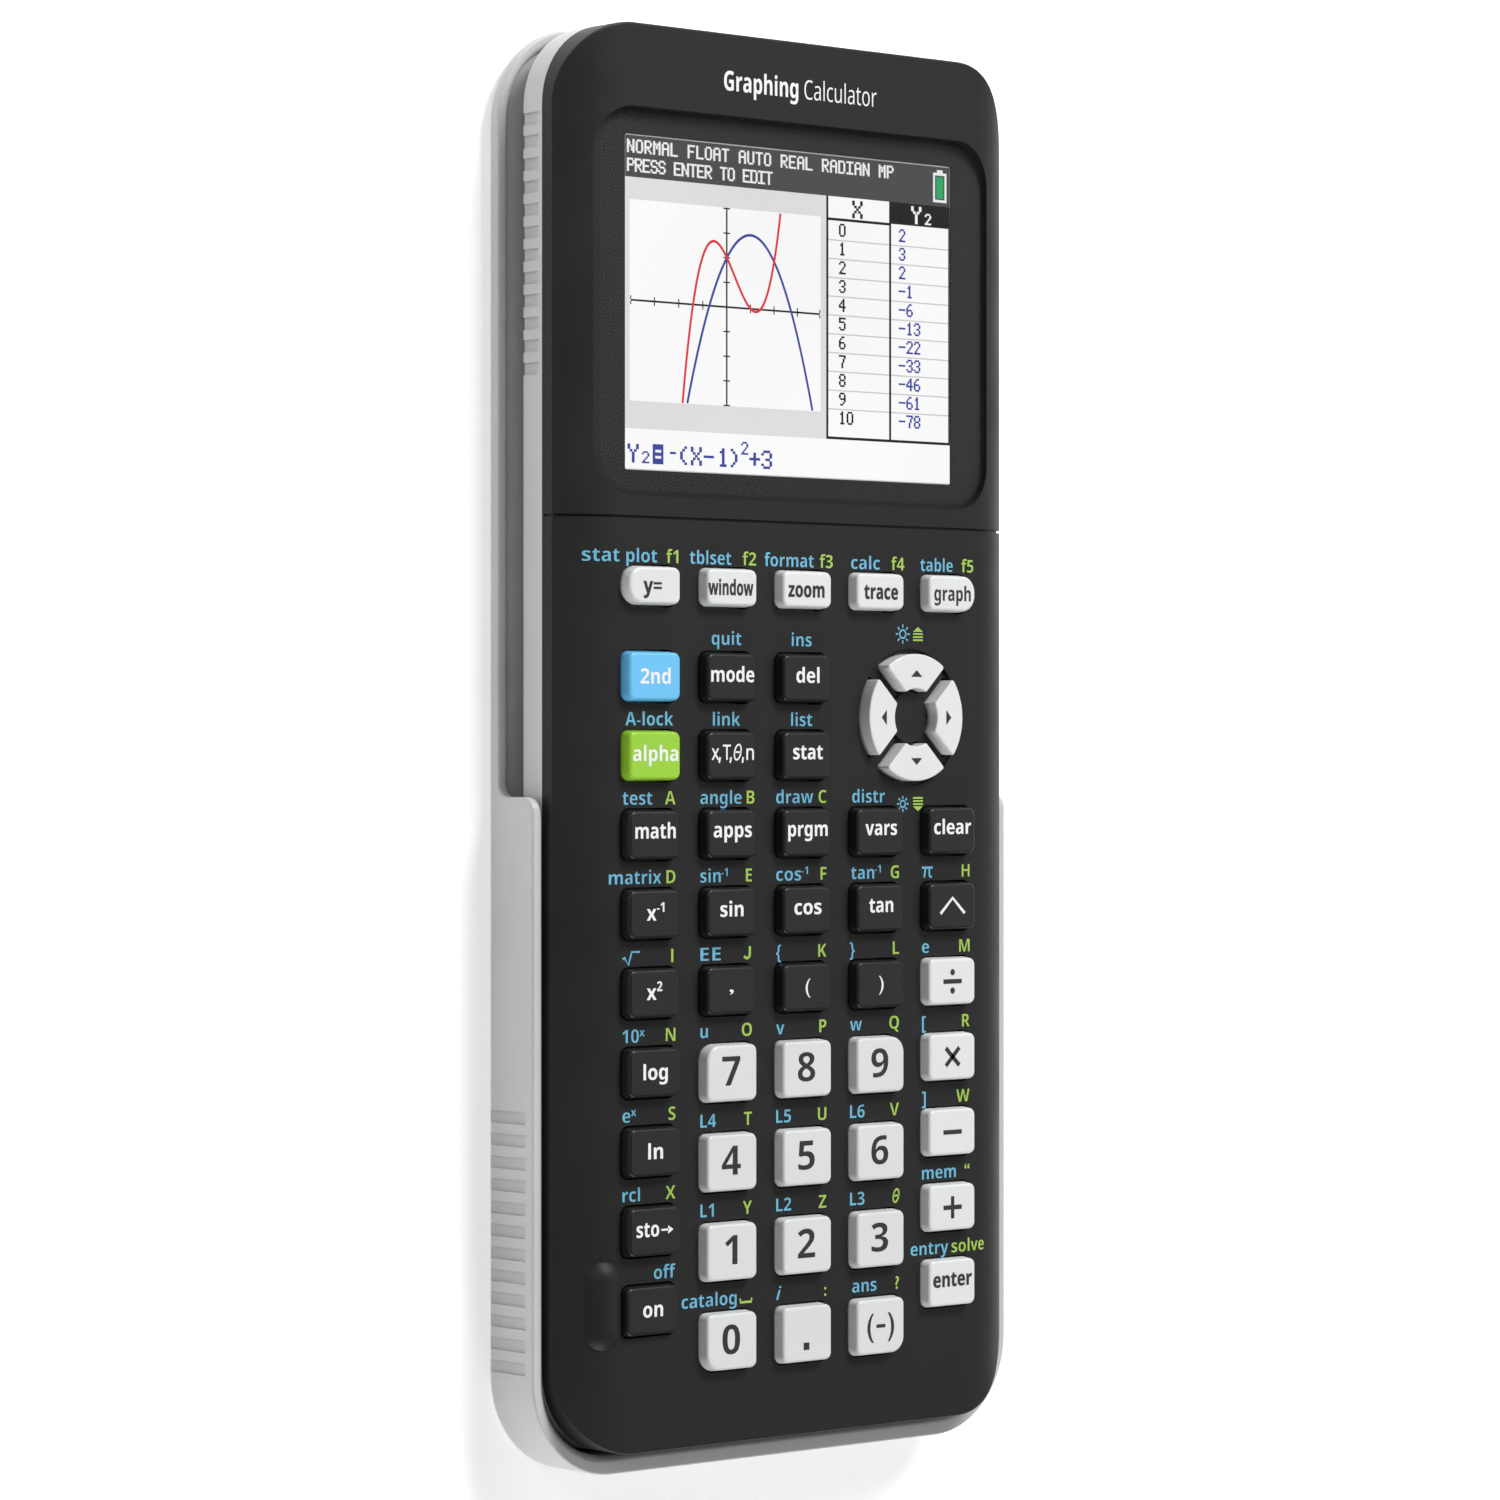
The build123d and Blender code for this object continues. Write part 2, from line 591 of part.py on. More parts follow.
def make_slide_cover():
    inner_half = COVER_WIDTH / 2 - COVER_WALL
    low_end = -COVER_LENGTH / 2
    with BuildPart() as cover:
        with BuildSketch():
            RectangleRounded(COVER_WIDTH, COVER_LENGTH, COVER_CORNER)
        extrude(amount=HIGH_RIM_Z)
        fillet(cover.edges().group_by(Axis.Z)[0], COVER_BACK_ROUND)

        # Inside of the tray
        inner_length = COVER_LENGTH - COVER_END_WALL - COVER_WALL
        inner_y = (COVER_END_WALL - COVER_WALL) / 2
        with BuildSketch(Plane(origin=(0, inner_y, COVER_FLOOR))):
            RectangleRounded(2 * inner_half, inner_length, COVER_CORNER - COVER_WALL - 0.6)
        extrude(amount=HIGH_RIM_Z, mode=Mode.SUBTRACT)

        # Side view: low rim beside the display, high wall beside the keys, an S between them
        with BuildSketch(Plane.YZ.offset(-COVER_WIDTH)):
            with BuildLine():
                Line((STEP_Y - STEP_CONVEX, HIGH_RIM_Z), (STEP_Y - STEP_CONVEX, HIGH_RIM_Z + 5))
                RadiusArc(
                    (STEP_Y - STEP_CONVEX, HIGH_RIM_Z),
                    (STEP_Y, HIGH_RIM_Z - STEP_CONVEX),
                    STEP_CONVEX,
                )
                Line((STEP_Y, HIGH_RIM_Z - STEP_CONVEX), (STEP_Y, LOW_RIM_Z + STEP_CONCAVE))
                RadiusArc(
                    (STEP_Y, LOW_RIM_Z + STEP_CONCAVE),
                    (STEP_Y + STEP_CONCAVE, LOW_RIM_Z),
                    -STEP_CONCAVE,
                )
                Line((STEP_Y + STEP_CONCAVE, LOW_RIM_Z), (-low_end + 5, LOW_RIM_Z))
                Line((-low_end + 5, LOW_RIM_Z), (-low_end + 5, HIGH_RIM_Z + 5))
                Line((-low_end + 5, HIGH_RIM_Z + 5), (STEP_Y - STEP_CONVEX, HIGH_RIM_Z + 5))
            make_face()
        extrude(amount=2 * COVER_WIDTH, mode=Mode.SUBTRACT)

        # Rim all the way round: a crisp outer edge and a softly rounded inner one
        for outer, radius in ((True, RIM_OUTER_ROUND), (False, RIM_INNER_ROUND)):
            rim = [
                edge for edge in cover.edges()
                if edge.center().Z > LOW_RIM_Z - 0.05
                and not is_upright(edge)
                and (depth_inside_cover(edge) < COVER_WALL / 2) == outer
            ]
            fillet(rim, radius)

        # Lead-in on the inner side of each high wall
        for side in (-1, 1):
            with BuildSketch(Plane(origin=(0, 0, COVER_FLOOR + 2))):
                with BuildLine():
                    Polyline(
                        (side * (inner_half - 0.5), STEP_Y + 1),
                        (side * (inner_half + 0.9), STEP_Y + 1),
                        (side * (inner_half + 0.7), STEP_Y - 1.2),
                        (side * (inner_half - 0.1), STEP_Y - 5.2),
                        (side * (inner_half - 0.5), STEP_Y + 1),
                    )
                make_face()
            extrude(amount=HIGH_RIM_Z, mode=Mode.SUBTRACT)

        # Rails that run in the rear housing's grooves
        rail_length = RAIL_Y[1] - RAIL_Y[0]
        for side in (-1, 1):
            with BuildSketch(Plane(origin=(0, (RAIL_Y[0] + RAIL_Y[1]) / 2, RAIL_Z[0]))):
                with Locations((side * (inner_half - RAIL_REACH / 2 + 0.2), 0)):
                    Rectangle(RAIL_REACH + 0.4, rail_length)
            extrude(amount=RAIL_Z[1] - RAIL_Z[0])

        add(grip_notches(COVER_WIDTH / 2, COVER_NOTCH_Y, *COVER_NOTCH_Z), mode=Mode.SUBTRACT)
    return cover


def depth_inside_cover(edge):
    """How far the middle of an edge lies inside the cover's outline, seen from above."""
    middle = edge.position_at(0.5)
    past_x = abs(middle.X) - (COVER_WIDTH / 2 - COVER_CORNER)
    past_y = abs(middle.Y) - (COVER_LENGTH / 2 - COVER_CORNER)
    if past_x > 0 and past_y > 0:
        return COVER_CORNER - math.hypot(past_x, past_y)
    return COVER_CORNER - max(past_x, past_y)


def is_upright(edge):
    """True for a straight edge that stands up along Z."""
    return edge.geom_type == GeomType.LINE and abs(edge.tangent_at(0.5).Z) > 0.9


# ---------------------------------------------------------------------------
# Display
# ---------------------------------------------------------------------------

def make_display_window():
    with BuildPart() as window:
        with BuildSketch(Plane(origin=(0, WINDOW_Y, WINDOW_TOP_Z - WINDOW_THICK))):
            RectangleRounded(WINDOW_WIDTH, WINDOW_HEIGHT, WINDOW_CORNER)
        extrude(amount=WINDOW_THICK)
        chamfer(window.edges().group_by(Axis.Z)[-1], WINDOW_EDGE)
    return window


def make_display_module():
    """Metal back frame, the glass panel that stands up into the window's ledge, and the tail."""
    low_z, high_z = MODULE_Z
    tail_width, tail_length, tail_thick = TAIL_SIZE
    tail_y = WINDOW_Y - MODULE_HEIGHT / 2 - tail_length / 2
    with BuildPart() as module:
        with BuildSketch(Plane(origin=(0, WINDOW_Y, low_z))):
            RectangleRounded(MODULE_WIDTH, MODULE_HEIGHT, 0.8)
        extrude(amount=high_z - low_z)
        with BuildSketch(Plane(origin=(0, WINDOW_Y, high_z))):
            Rectangle(PANEL_WIDTH, PANEL_HEIGHT)
        extrude(amount=PANEL_TOP_Z - high_z)
        with BuildSketch(Plane(origin=(0, tail_y, low_z + 0.3))):
            Rectangle(tail_width, tail_length)
        extrude(amount=tail_thick)
    return module


# ---------------------------------------------------------------------------
# Keypad mat, circuit board, battery and screws
# ---------------------------------------------------------------------------

def key_centres():
    """Centre of the dome under every key."""
    centres = [(x, y) for name, x, y, height, corners in key_list()]
    reach = (ARROW_OUTER + ARROW_INNER) / 2
    for turn in ARROWS.values():
        angle = math.radians(turn)
        centres.append((
            ARROW_CENTRE[0] + reach * math.cos(angle),
            ARROW_CENTRE[1] + reach * math.sin(angle),
        ))
    return centres


def make_keypad_mat():
    sheet_z = BOARD_Z[1]
    with BuildPart() as mat:
        with BuildSketch(Plane(origin=(0, MAT_Y, sheet_z))):
            RectangleRounded(MAT_WIDTH, MAT_LENGTH, MAT_CORNER)
        extrude(amount=MAT_SHEET)
        with BuildSketch(Plane.XY.offset(sheet_z + MAT_SHEET)):
            with Locations(*key_centres()):
                Circle(DOME_RADIUS)
        extrude(amount=DOME_TOP_Z - sheet_z - MAT_SHEET, taper=DOME_SLOPE)
    return mat


def make_circuit_board():
    """Board with its chips and sockets, and the USB socket as a second solid."""
    low_z, high_z = BOARD_Z
    length, width, height = USB_SIZE
    usb_x = SHELL_WIDTH / 2 - USB_INSET - length / 2
    with BuildPart() as board:
        with BuildSketch(Plane(origin=(0, SHELL_Y, low_z))):
            RectangleRounded(BOARD_WIDTH, BOARD_LENGTH, BOARD_CORNER)
        extrude(amount=high_z - low_z)
        for x, y in SCREW_PLACES:
            with BuildSketch(Plane(origin=(x, y, low_z))):
                Circle(BOSS_RADIUS + 2 * HOLE_PLAY)
            extrude(amount=THROUGH, mode=Mode.SUBTRACT)
        with BuildSketch(Plane(origin=(usb_x, USB_Y, low_z))):
            Rectangle(length + 2 * HOLE_PLAY, width + 2 * HOLE_PLAY)
        extrude(amount=THROUGH, mode=Mode.SUBTRACT)
        for chip in (PROCESSOR, MEMORY, CHARGER, COIL, BATTERY_SOCKET):
            x, y, chip_width, chip_length, thick = chip
            with BuildSketch(Plane(origin=(x, SHELL_Y + y, low_z - thick))):
                Rectangle(chip_width, chip_length)
            extrude(amount=thick)
        # Top side: socket for the display's tail
        socket_width, socket_length, socket_thick = TAIL_SOCKET
        socket_y = WINDOW_Y - MODULE_HEIGHT / 2 - TAIL_SIZE[1] - 0.3 - socket_length / 2
        with BuildSketch(Plane(origin=(0, socket_y, high_z))):
            Rectangle(socket_width, socket_length)
        extrude(amount=socket_thick)
    with BuildPart() as usb:
        with Locations((usb_x, USB_Y, USB_Z)):
            Box(length, width, height)
        with Locations((usb_x + 1.5 * USB_METAL, USB_Y, USB_Z)):
            Box(length, width - 2 * USB_METAL, height - 2 * USB_METAL, mode=Mode.SUBTRACT)
        with Locations((usb_x - USB_METAL, USB_Y, USB_Z)):
            Box(*USB_TONGUE)
    return Compound(label="circuit_board", children=[board.part, usb.part])


def make_battery_pack():
    width, length, height = BATTERY
    with BuildPart() as battery:
        with Locations((0, BATTERY_Y, BATTERY_Z + height / 2)):
            Box(width, length, height)
        fillet(battery.edges().filter_by(Axis.Y), BATTERY_ROUND)
    return battery


def make_screw(x, y, seat_z, length):
    """Pan-head screw, head down, with a six-point socket."""
    with BuildPart() as screw:
        with BuildSketch(Plane(origin=(x, y, seat_z - SCREW_HEAD_THICK))):
            Circle(SCREW_HEAD)
        extrude(amount=SCREW_HEAD_THICK)
        fillet(screw.edges().group_by(Axis.Z)[0], 0.5)
        with BuildSketch(Plane(origin=(x, y, seat_z))):
            Circle(SCREW_SHANK)
        extrude(amount=length)
        chamfer(screw.edges().group_by(Axis.Z)[-1], 0.3)
        with BuildSketch(Plane(origin=(x, y, seat_z - SCREW_HEAD_THICK))):
            RegularPolygon(SOCKET_RADIUS, 6)
        extrude(amount=SOCKET_DEEP, mode=Mode.SUBTRACT)
    return screw.part


def make_screws():
    """Six long screws hold the housings together and a short one holds the battery's door."""
    screws = [make_screw(x, y, HEAD_SEAT_Z, SCREW_LENGTH) for x, y in SCREW_PLACES]
    screws.append(make_screw(0, DOOR_SCREW_Y, DOOR_SEAT_Z, DOOR_SCREW_LENGTH))
    return Compound(label="housing_screws", children=screws)


def save(piece, name):
    piece.label = name
    export_step(piece, f"parts/{name}.step")


os.makedirs("parts", exist_ok=True)

save(make_front_housing().part, "front_housing")
save(make_rear_housing().part, "rear_housing")
save(make_slide_cover().part, "slide_cover")
save(make_display_window().part, "display_window")
save(make_display_module().part, "display_module")
save(make_keypad_mat().part, "keypad_mat")
save(make_circuit_board(), "circuit_board")
save(make_battery_pack().part, "battery_pack")
save(make_battery_cover().part, "battery_cover")
save(make_screws(), "housing_screws")
for key_name, key_x, key_y, key_height, key_corners in key_list():
    save(square_key(key_name, key_x, key_y, key_height, key_corners).part, f"key_{key_name}")
for arrow_name, arrow_turn in ARROWS.items():
    save(arrow_key(arrow_turn).part, f"key_{arrow_name}")
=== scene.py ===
"""Looks of a graphing calculator lying in its slide cover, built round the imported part.

Sizes are in millimetres, from the middle of the cover's bottom, and turn into metres when a piece is made.
"""

import json
import math

import bmesh
import bpy
import numpy as np
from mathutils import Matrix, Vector


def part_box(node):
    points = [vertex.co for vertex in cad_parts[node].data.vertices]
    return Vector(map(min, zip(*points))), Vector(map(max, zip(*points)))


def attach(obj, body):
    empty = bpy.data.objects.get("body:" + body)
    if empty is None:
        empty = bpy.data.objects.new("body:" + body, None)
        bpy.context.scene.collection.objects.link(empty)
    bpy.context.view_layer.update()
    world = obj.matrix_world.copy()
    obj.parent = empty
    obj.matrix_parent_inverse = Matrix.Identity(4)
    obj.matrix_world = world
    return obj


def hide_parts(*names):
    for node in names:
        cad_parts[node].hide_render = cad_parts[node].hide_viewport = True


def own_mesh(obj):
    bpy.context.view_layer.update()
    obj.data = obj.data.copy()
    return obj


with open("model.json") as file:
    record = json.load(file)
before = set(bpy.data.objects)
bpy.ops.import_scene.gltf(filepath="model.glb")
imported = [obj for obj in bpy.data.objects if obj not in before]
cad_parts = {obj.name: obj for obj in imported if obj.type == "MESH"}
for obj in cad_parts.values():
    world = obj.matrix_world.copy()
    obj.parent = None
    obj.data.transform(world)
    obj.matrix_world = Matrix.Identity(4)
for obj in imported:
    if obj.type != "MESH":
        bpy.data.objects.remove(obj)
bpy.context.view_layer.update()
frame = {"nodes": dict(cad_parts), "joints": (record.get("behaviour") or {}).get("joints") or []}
MM = 0.001


def node_box(node):
    """Lowest and highest corner of a CAD node in millimetres."""
    low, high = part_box(node)
    return low / MM, high / MM


def node_centre(node):
    low, high = node_box(node)
    return (low + high) / 2


# ---------------------------------------------------------------------------
# Places taken from the frame
# ---------------------------------------------------------------------------

WINDOW_LOW, WINDOW_HIGH = node_box("display_window")
WINDOW_MIDDLE = (WINDOW_LOW + WINDOW_HIGH) / 2
PANEL_TOP = node_box("display_module")[1].z
WINDOW_SUNK = 0.4
FACE_Z = WINDOW_HIGH.z + WINDOW_SUNK
HALF_WIDTH = node_box("front_housing")[1].x
MIDDLE_Y = (node_box("front_housing")[0].y + node_box("front_housing")[1].y) / 2

# The face is flat in its middle and rounds off towards both sides, along an arc
FLAT_HALF = 30.0
CREASE_DROP = 3.2
ARC_RADIUS = ((HALF_WIDTH - FLAT_HALF) ** 2 + CREASE_DROP**2) / (2 * CREASE_DROP)


def face_drop(x):
    """How far the face lies below its flat middle at this distance from the centre line."""
    past = max(0.0, abs(x) - FLAT_HALF)
    return ARC_RADIUS - math.sqrt(ARC_RADIUS**2 - past**2)


# ---------------------------------------------------------------------------
# Materials
# ---------------------------------------------------------------------------

def new_material(name, colour, roughness):
    material = bpy.data.materials.new(name)
    material.use_nodes = True
    shader = material.node_tree.nodes["Principled BSDF"]
    shader.inputs["Base Color"].default_value = (*colour, 1)
    shader.inputs["Roughness"].default_value = roughness
    return material, shader


def add_noise(material, size, detail=3.0):
    """Noise whose blobs are about this many millimetres wide, fixed to the piece."""
    nodes, links = material.node_tree.nodes, material.node_tree.links
    place = nodes.new("ShaderNodeTexCoord")
    noise = nodes.new("ShaderNodeTexNoise")
    noise.inputs["Scale"].default_value = 1 / (size * MM)
    noise.inputs["Detail"].default_value = detail
    links.new(place.outputs["Object"], noise.inputs["Vector"])
    return noise.outputs["Fac"]


def spread(material, fac, low, high):
    """Turns noise, which mostly lies between 0.3 and 0.7, into a value from low to high."""
    nodes, links = material.node_tree.nodes, material.node_tree.links
    remap = nodes.new("ShaderNodeMapRange")
    remap.inputs["From Min"].default_value = 0.3
    remap.inputs["From Max"].default_value = 0.7
    remap.inputs["To Min"].default_value = low
    remap.inputs["To Max"].default_value = high
    links.new(fac, remap.inputs["Value"])
    return remap.outputs["Result"]


def add_bump(material, shader, fac, height):
    """Relief of this many millimetres."""
    nodes, links = material.node_tree.nodes, material.node_tree.links
    bump = nodes.new("ShaderNodeBump")
    bump.inputs["Distance"].default_value = height * MM
    links.new(fac, bump.inputs["Height"])
    links.new(bump.outputs["Normal"], shader.inputs["Normal"])
    return bump


def mix_colours(material, fac, first, second):
    """A colour that goes from first to second as fac goes from 0 to 1."""
    nodes, links = material.node_tree.nodes, material.node_tree.links
    mix = nodes.new("ShaderNodeMix")
    mix.data_type = "RGBA"
    mix.inputs["A"].default_value = (*first, 1)
    mix.inputs["B"].default_value = (*second, 1)
    links.new(fac, mix.inputs["Factor"])
    return mix.outputs["Result"]


def moulded_plastic(name, colour, roughness, grain=0.35, relief=0.006, mottle=0.05, gloss=0.5):
    """Spark-eroded moulded plastic: fine relief, and gloss and tone that vary slightly over the part."""
    material, shader = new_material(name, colour, roughness)
    shader.inputs["Specular IOR Level"].default_value = gloss
    links = material.node_tree.links
    add_bump(material, shader, add_noise(material, grain), relief)
    patches = add_noise(material, 14)
    rubbed = spread(material, patches, roughness * 0.88, roughness * 1.12)
    links.new(rubbed, shader.inputs["Roughness"])
    tone = spread(material, patches, 0, 1)
    darker = [c * (1 - mottle) for c in colour]
    lighter = [c * (1 + mottle) for c in colour]
    links.new(mix_colours(material, tone, darker, lighter), shader.inputs["Base Color"])
    return material


def printed_ink(name, colour):
    """Screen-printed ink: slightly uneven and a little glossier than the plastic under it."""
    material, shader = new_material(name, colour, 0.4)
    links = material.node_tree.links
    coverage = spread(material, add_noise(material, 0.8), 0, 1)
    thin = [c * 0.92 for c in colour]
    links.new(mix_colours(material, coverage, thin, colour), shader.inputs["Base Color"])
    add_bump(material, shader, add_noise(material, 0.12), 0.003)
    return material


def lit_dots(name, colour):
    """Colour of the lit display, with the backlight's slow unevenness."""
    material, shader = new_material(name, (0.01, 0.01, 0.01), 0.5)
    shader.inputs["Specular IOR Level"].default_value = 0.0
    links = material.node_tree.links
    uneven = spread(material, add_noise(material, 30, 1.0), 0, 1)
    dimmer = [c * 0.95 for c in colour]
    links.new(mix_colours(material, uneven, dimmer, colour), shader.inputs["Emission Color"])
    shader.inputs["Emission Strength"].default_value = 1.0
    return material


def clear_window(name):
    """Acrylic: clear seen straight on, with gloss that grows towards the edges of the view."""
    material, shader = new_material(name, (1.0, 1.0, 1.0), 0.08)
    nodes, links = material.node_tree.nodes, material.node_tree.links
    clear = nodes.new("ShaderNodeBsdfTransparent")
    clear.inputs["Color"].default_value = (0.98, 0.98, 0.98, 1)
    gloss = nodes.new("ShaderNodeBsdfGlossy")
    gloss.inputs["Roughness"].default_value = 0.08
    edge = nodes.new("ShaderNodeLayerWeight")
    edge.inputs["Blend"].default_value = 0.012
    join = nodes.new("ShaderNodeMixShader")
    links.new(edge.outputs["Facing"], join.inputs["Fac"])
    links.new(clear.outputs["BSDF"], join.inputs[1])
    links.new(gloss.outputs["BSDF"], join.inputs[2])
    links.new(join.outputs["Shader"], nodes["Material Output"].inputs["Surface"])
    nodes.remove(shader)
    return material


def silicone(name):
    """Translucent grey silicone rubber of the keypad mat."""
    material, shader = new_material(name, (0.55, 0.56, 0.56), 0.55)
    shader.inputs["Subsurface Weight"].default_value = 0.25
    shader.inputs["Subsurface Scale"].default_value = 0.0006
    add_bump(material, shader, add_noise(material, 0.5), 0.01)
    dusty = spread(material, add_noise(material, 5), 0.48, 0.62)
    material.node_tree.links.new(dusty, shader.inputs["Roughness"])
    return material


def brushed_metal(name, colour, roughness):
    """Metal with fine lines along X."""
    material, shader = new_material(name, colour, roughness)
    shader.inputs["Metallic"].default_value = 1.0
    nodes, links = material.node_tree.nodes, material.node_tree.links
    place = nodes.new("ShaderNodeTexCoord")
    stretch = nodes.new("ShaderNodeMapping")
    stretch.inputs["Scale"].default_value = (0.04, 1, 1)
    lines = nodes.new("ShaderNodeTexNoise")
    lines.inputs["Scale"].default_value = 1 / (0.15 * MM)
    links.new(place.outputs["Object"], stretch.inputs["Vector"])
    links.new(stretch.outputs["Vector"], lines.inputs["Vector"])
    add_bump(material, shader, lines.outputs["Fac"], 0.004)
    worn = spread(material, lines.outputs["Fac"], roughness * 0.8, roughness * 1.3)
    links.new(worn, shader.inputs["Roughness"])
    return material


SOCKET_DEPTH = 7.2
SOCKET_WIDE = 8.4
SOCKET_Y = MIDDLE_Y + 37.5


def circuit_board(name):
    """Green solder mask over copper tracks, with a tinned steel socket at the board's right edge."""
    material, shader = new_material(name, (0.02, 0.12, 0.05), 0.35)
    nodes, links = material.node_tree.nodes, material.node_tree.links
    place = nodes.new("ShaderNodeTexCoord")
    tracks = nodes.new("ShaderNodeTexVoronoi")
    tracks.distance = "MANHATTAN"
    tracks.feature = "DISTANCE_TO_EDGE"
    tracks.inputs["Scale"].default_value = 1 / (2.2 * MM)
    links.new(place.outputs["Object"], tracks.inputs["Vector"])
    track_line = nodes.new("ShaderNodeMath")
    track_line.operation = "LESS_THAN"
    track_line.inputs[1].default_value = 0.06
    links.new(tracks.outputs["Distance"], track_line.inputs[0])
    mask = mix_colours(material, track_line.outputs["Value"], (0.012, 0.085, 0.035), (0.03, 0.2, 0.08))
    # The socket is the part of the node that sticks out past the board's own thickness at the right edge
    split = nodes.new("ShaderNodeSeparateXYZ")
    links.new(place.outputs["Object"], split.inputs["Vector"])
    socket = nodes.new("ShaderNodeMath")
    socket.operation = "GREATER_THAN"
    socket.inputs[1].default_value = (node_box("circuit_board")[1].x - SOCKET_DEPTH) * MM
    links.new(split.outputs["X"], socket.inputs[0])
    near = nodes.new("ShaderNodeMath")
    near.operation = "COMPARE"
    near.inputs[1].default_value = SOCKET_Y * MM
    near.inputs[2].default_value = SOCKET_WIDE / 2 * MM
    links.new(split.outputs["Y"], near.inputs[0])
    both = nodes.new("ShaderNodeMath")
    both.operation = "MULTIPLY"
    links.new(socket.outputs["Value"], both.inputs[0])
    links.new(near.outputs["Value"], both.inputs[1])
    coated = nodes.new("ShaderNodeMix")
    coated.data_type = "RGBA"
    links.new(both.outputs["Value"], coated.inputs["Factor"])
    links.new(mask, coated.inputs["A"])
    coated.inputs["B"].default_value = (0.6, 0.6, 0.6, 1)
    links.new(coated.outputs["Result"], shader.inputs["Base Color"])
    links.new(both.outputs["Value"], shader.inputs["Metallic"])
    add_bump(material, shader, track_line.outputs["Value"], 0.03)
    return material


WHITE = (0.82, 0.83, 0.83)
BLUE = (0.14, 0.46, 0.66)
GREEN = (0.36, 0.57, 0.08)
BLACK = (0.012, 0.012, 0.013)

white_ink = printed_ink("white_ink", WHITE)
blue_ink = printed_ink("blue_ink", BLUE)
green_ink = printed_ink("green_ink", GREEN)
black_ink = printed_ink("black_ink", BLACK)

shell_black = moulded_plastic("shell_black", (0.014, 0.014, 0.0142), 0.48, gloss=0.2)
shell_grey = moulded_plastic("shell_grey", (0.5, 0.51, 0.51), 0.4, mottle=0.03)
cover_grey = moulded_plastic("cover_grey", (0.5, 0.505, 0.505), 0.38, mottle=0.03)
key_black = moulded_plastic("key_black", (0.011, 0.011, 0.0113), 0.35, relief=0.004, gloss=0.28)
key_white = moulded_plastic("key_white", (0.68, 0.69, 0.69), 0.34, relief=0.004, mottle=0.02)
key_number = moulded_plastic("key_number", (0.64, 0.65, 0.65), 0.34, relief=0.004, mottle=0.02)
key_blue = moulded_plastic("key_blue", (0.13, 0.48, 0.8), 0.34, relief=0.004, mottle=0.03)
key_green = moulded_plastic("key_green", (0.28, 0.56, 0.028), 0.34, relief=0.004, mottle=0.03)
rubber = silicone("mat_silicone")
module_metal = brushed_metal("module_metal", (0.62, 0.62, 0.63), 0.35)
screw_steel = brushed_metal("screw_steel", (0.35, 0.35, 0.37), 0.3)
cell_sleeve = moulded_plastic("cell_sleeve", (0.06, 0.1, 0.22), 0.3, grain=2.0, relief=0.05)

LIGHT_KEYS = ["y_equals", "window", "zoom", "trace", "graph", "divide", "multiply", "minus", "plus", "enter"]
ARROW_KEYS = ["up", "down", "left", "right"]
NUMBER_KEYS = ["7", "8", "9", "4", "5", "6", "1", "2", "3", "0", "point", "negative"]

NODE_MATERIALS = {
    "slide_cover": cover_grey,
    "front_housing": shell_black,
    "rear_housing": shell_grey,
    "battery_cover": shell_grey,
    "display_window": clear_window("window_acrylic"),
    "display_module": module_metal,
    "circuit_board": circuit_board("board_green"),
    "battery_pack": cell_sleeve,
    "housing_screws": screw_steel,
    "key_second": key_blue,
    "key_alpha": key_green,
}
for key in LIGHT_KEYS + ARROW_KEYS:
    NODE_MATERIALS["key_" + key] = key_white
for key in NUMBER_KEYS:
    NODE_MATERIALS["key_" + key] = key_number

for name, node in frame["nodes"].items():
    node.data.materials.clear()
    node.data.materials.append(NODE_MATERIALS.get(name, key_black))


# ---------------------------------------------------------------------------
# Thin flat shapes: ink on the plastic, and what the display shows
# ---------------------------------------------------------------------------

# Where the heavy and the light letters and digits of mathematics start
HEAVY_STARTS = {"A": 0x1D5D4, "a": 0x1D5EE, "0": 0x1D7EC}
LIGHT_STARTS = {"A": 0x1D5A0, "a": 0x1D5BA, "0": 0x1D7E2}


def sans(words, heavy):
    """The same words in the upright sans-serif letters and digits that mathematics has, heavy or light."""
    starts = HEAVY_STARTS if heavy else LIGHT_STARTS
    changed = ""
    for sign in words:
        first = "A" if sign.isupper() else "a" if sign.islower() else "0" if sign.isdigit() else None
        changed += chr(starts[first] + ord(sign) - ord(first)) if first and sign.isascii() else sign
    return changed


def lettering(words, heavy, bold, slant):
    """Filled letters one unit high and one unit thick, from x = 0, as points and faces."""
    curve = bpy.data.curves.new("lettering", "FONT")
    curve.body = sans(words, heavy)
    curve.size = 1
    curve.offset = bold
    curve.shear = slant
    curve.resolution_u = 4
    curve.extrude = 0.5
    holder = bpy.data.objects.new("lettering", curve)
    bpy.context.collection.objects.link(holder)
    mesh = bpy.data.meshes.new_from_object(holder.evaluated_get(bpy.context.evaluated_depsgraph_get()))
    bpy.data.objects.remove(holder)
    bpy.data.curves.remove(curve)
    points = np.array([v.co for v in mesh.vertices])
    faces = [list(p.vertices) for p in mesh.polygons]
    bpy.data.meshes.remove(mesh)
    points[:, 0] -= points[:, 0].min()
    points[:, 2] += 0.5
    return points, faces


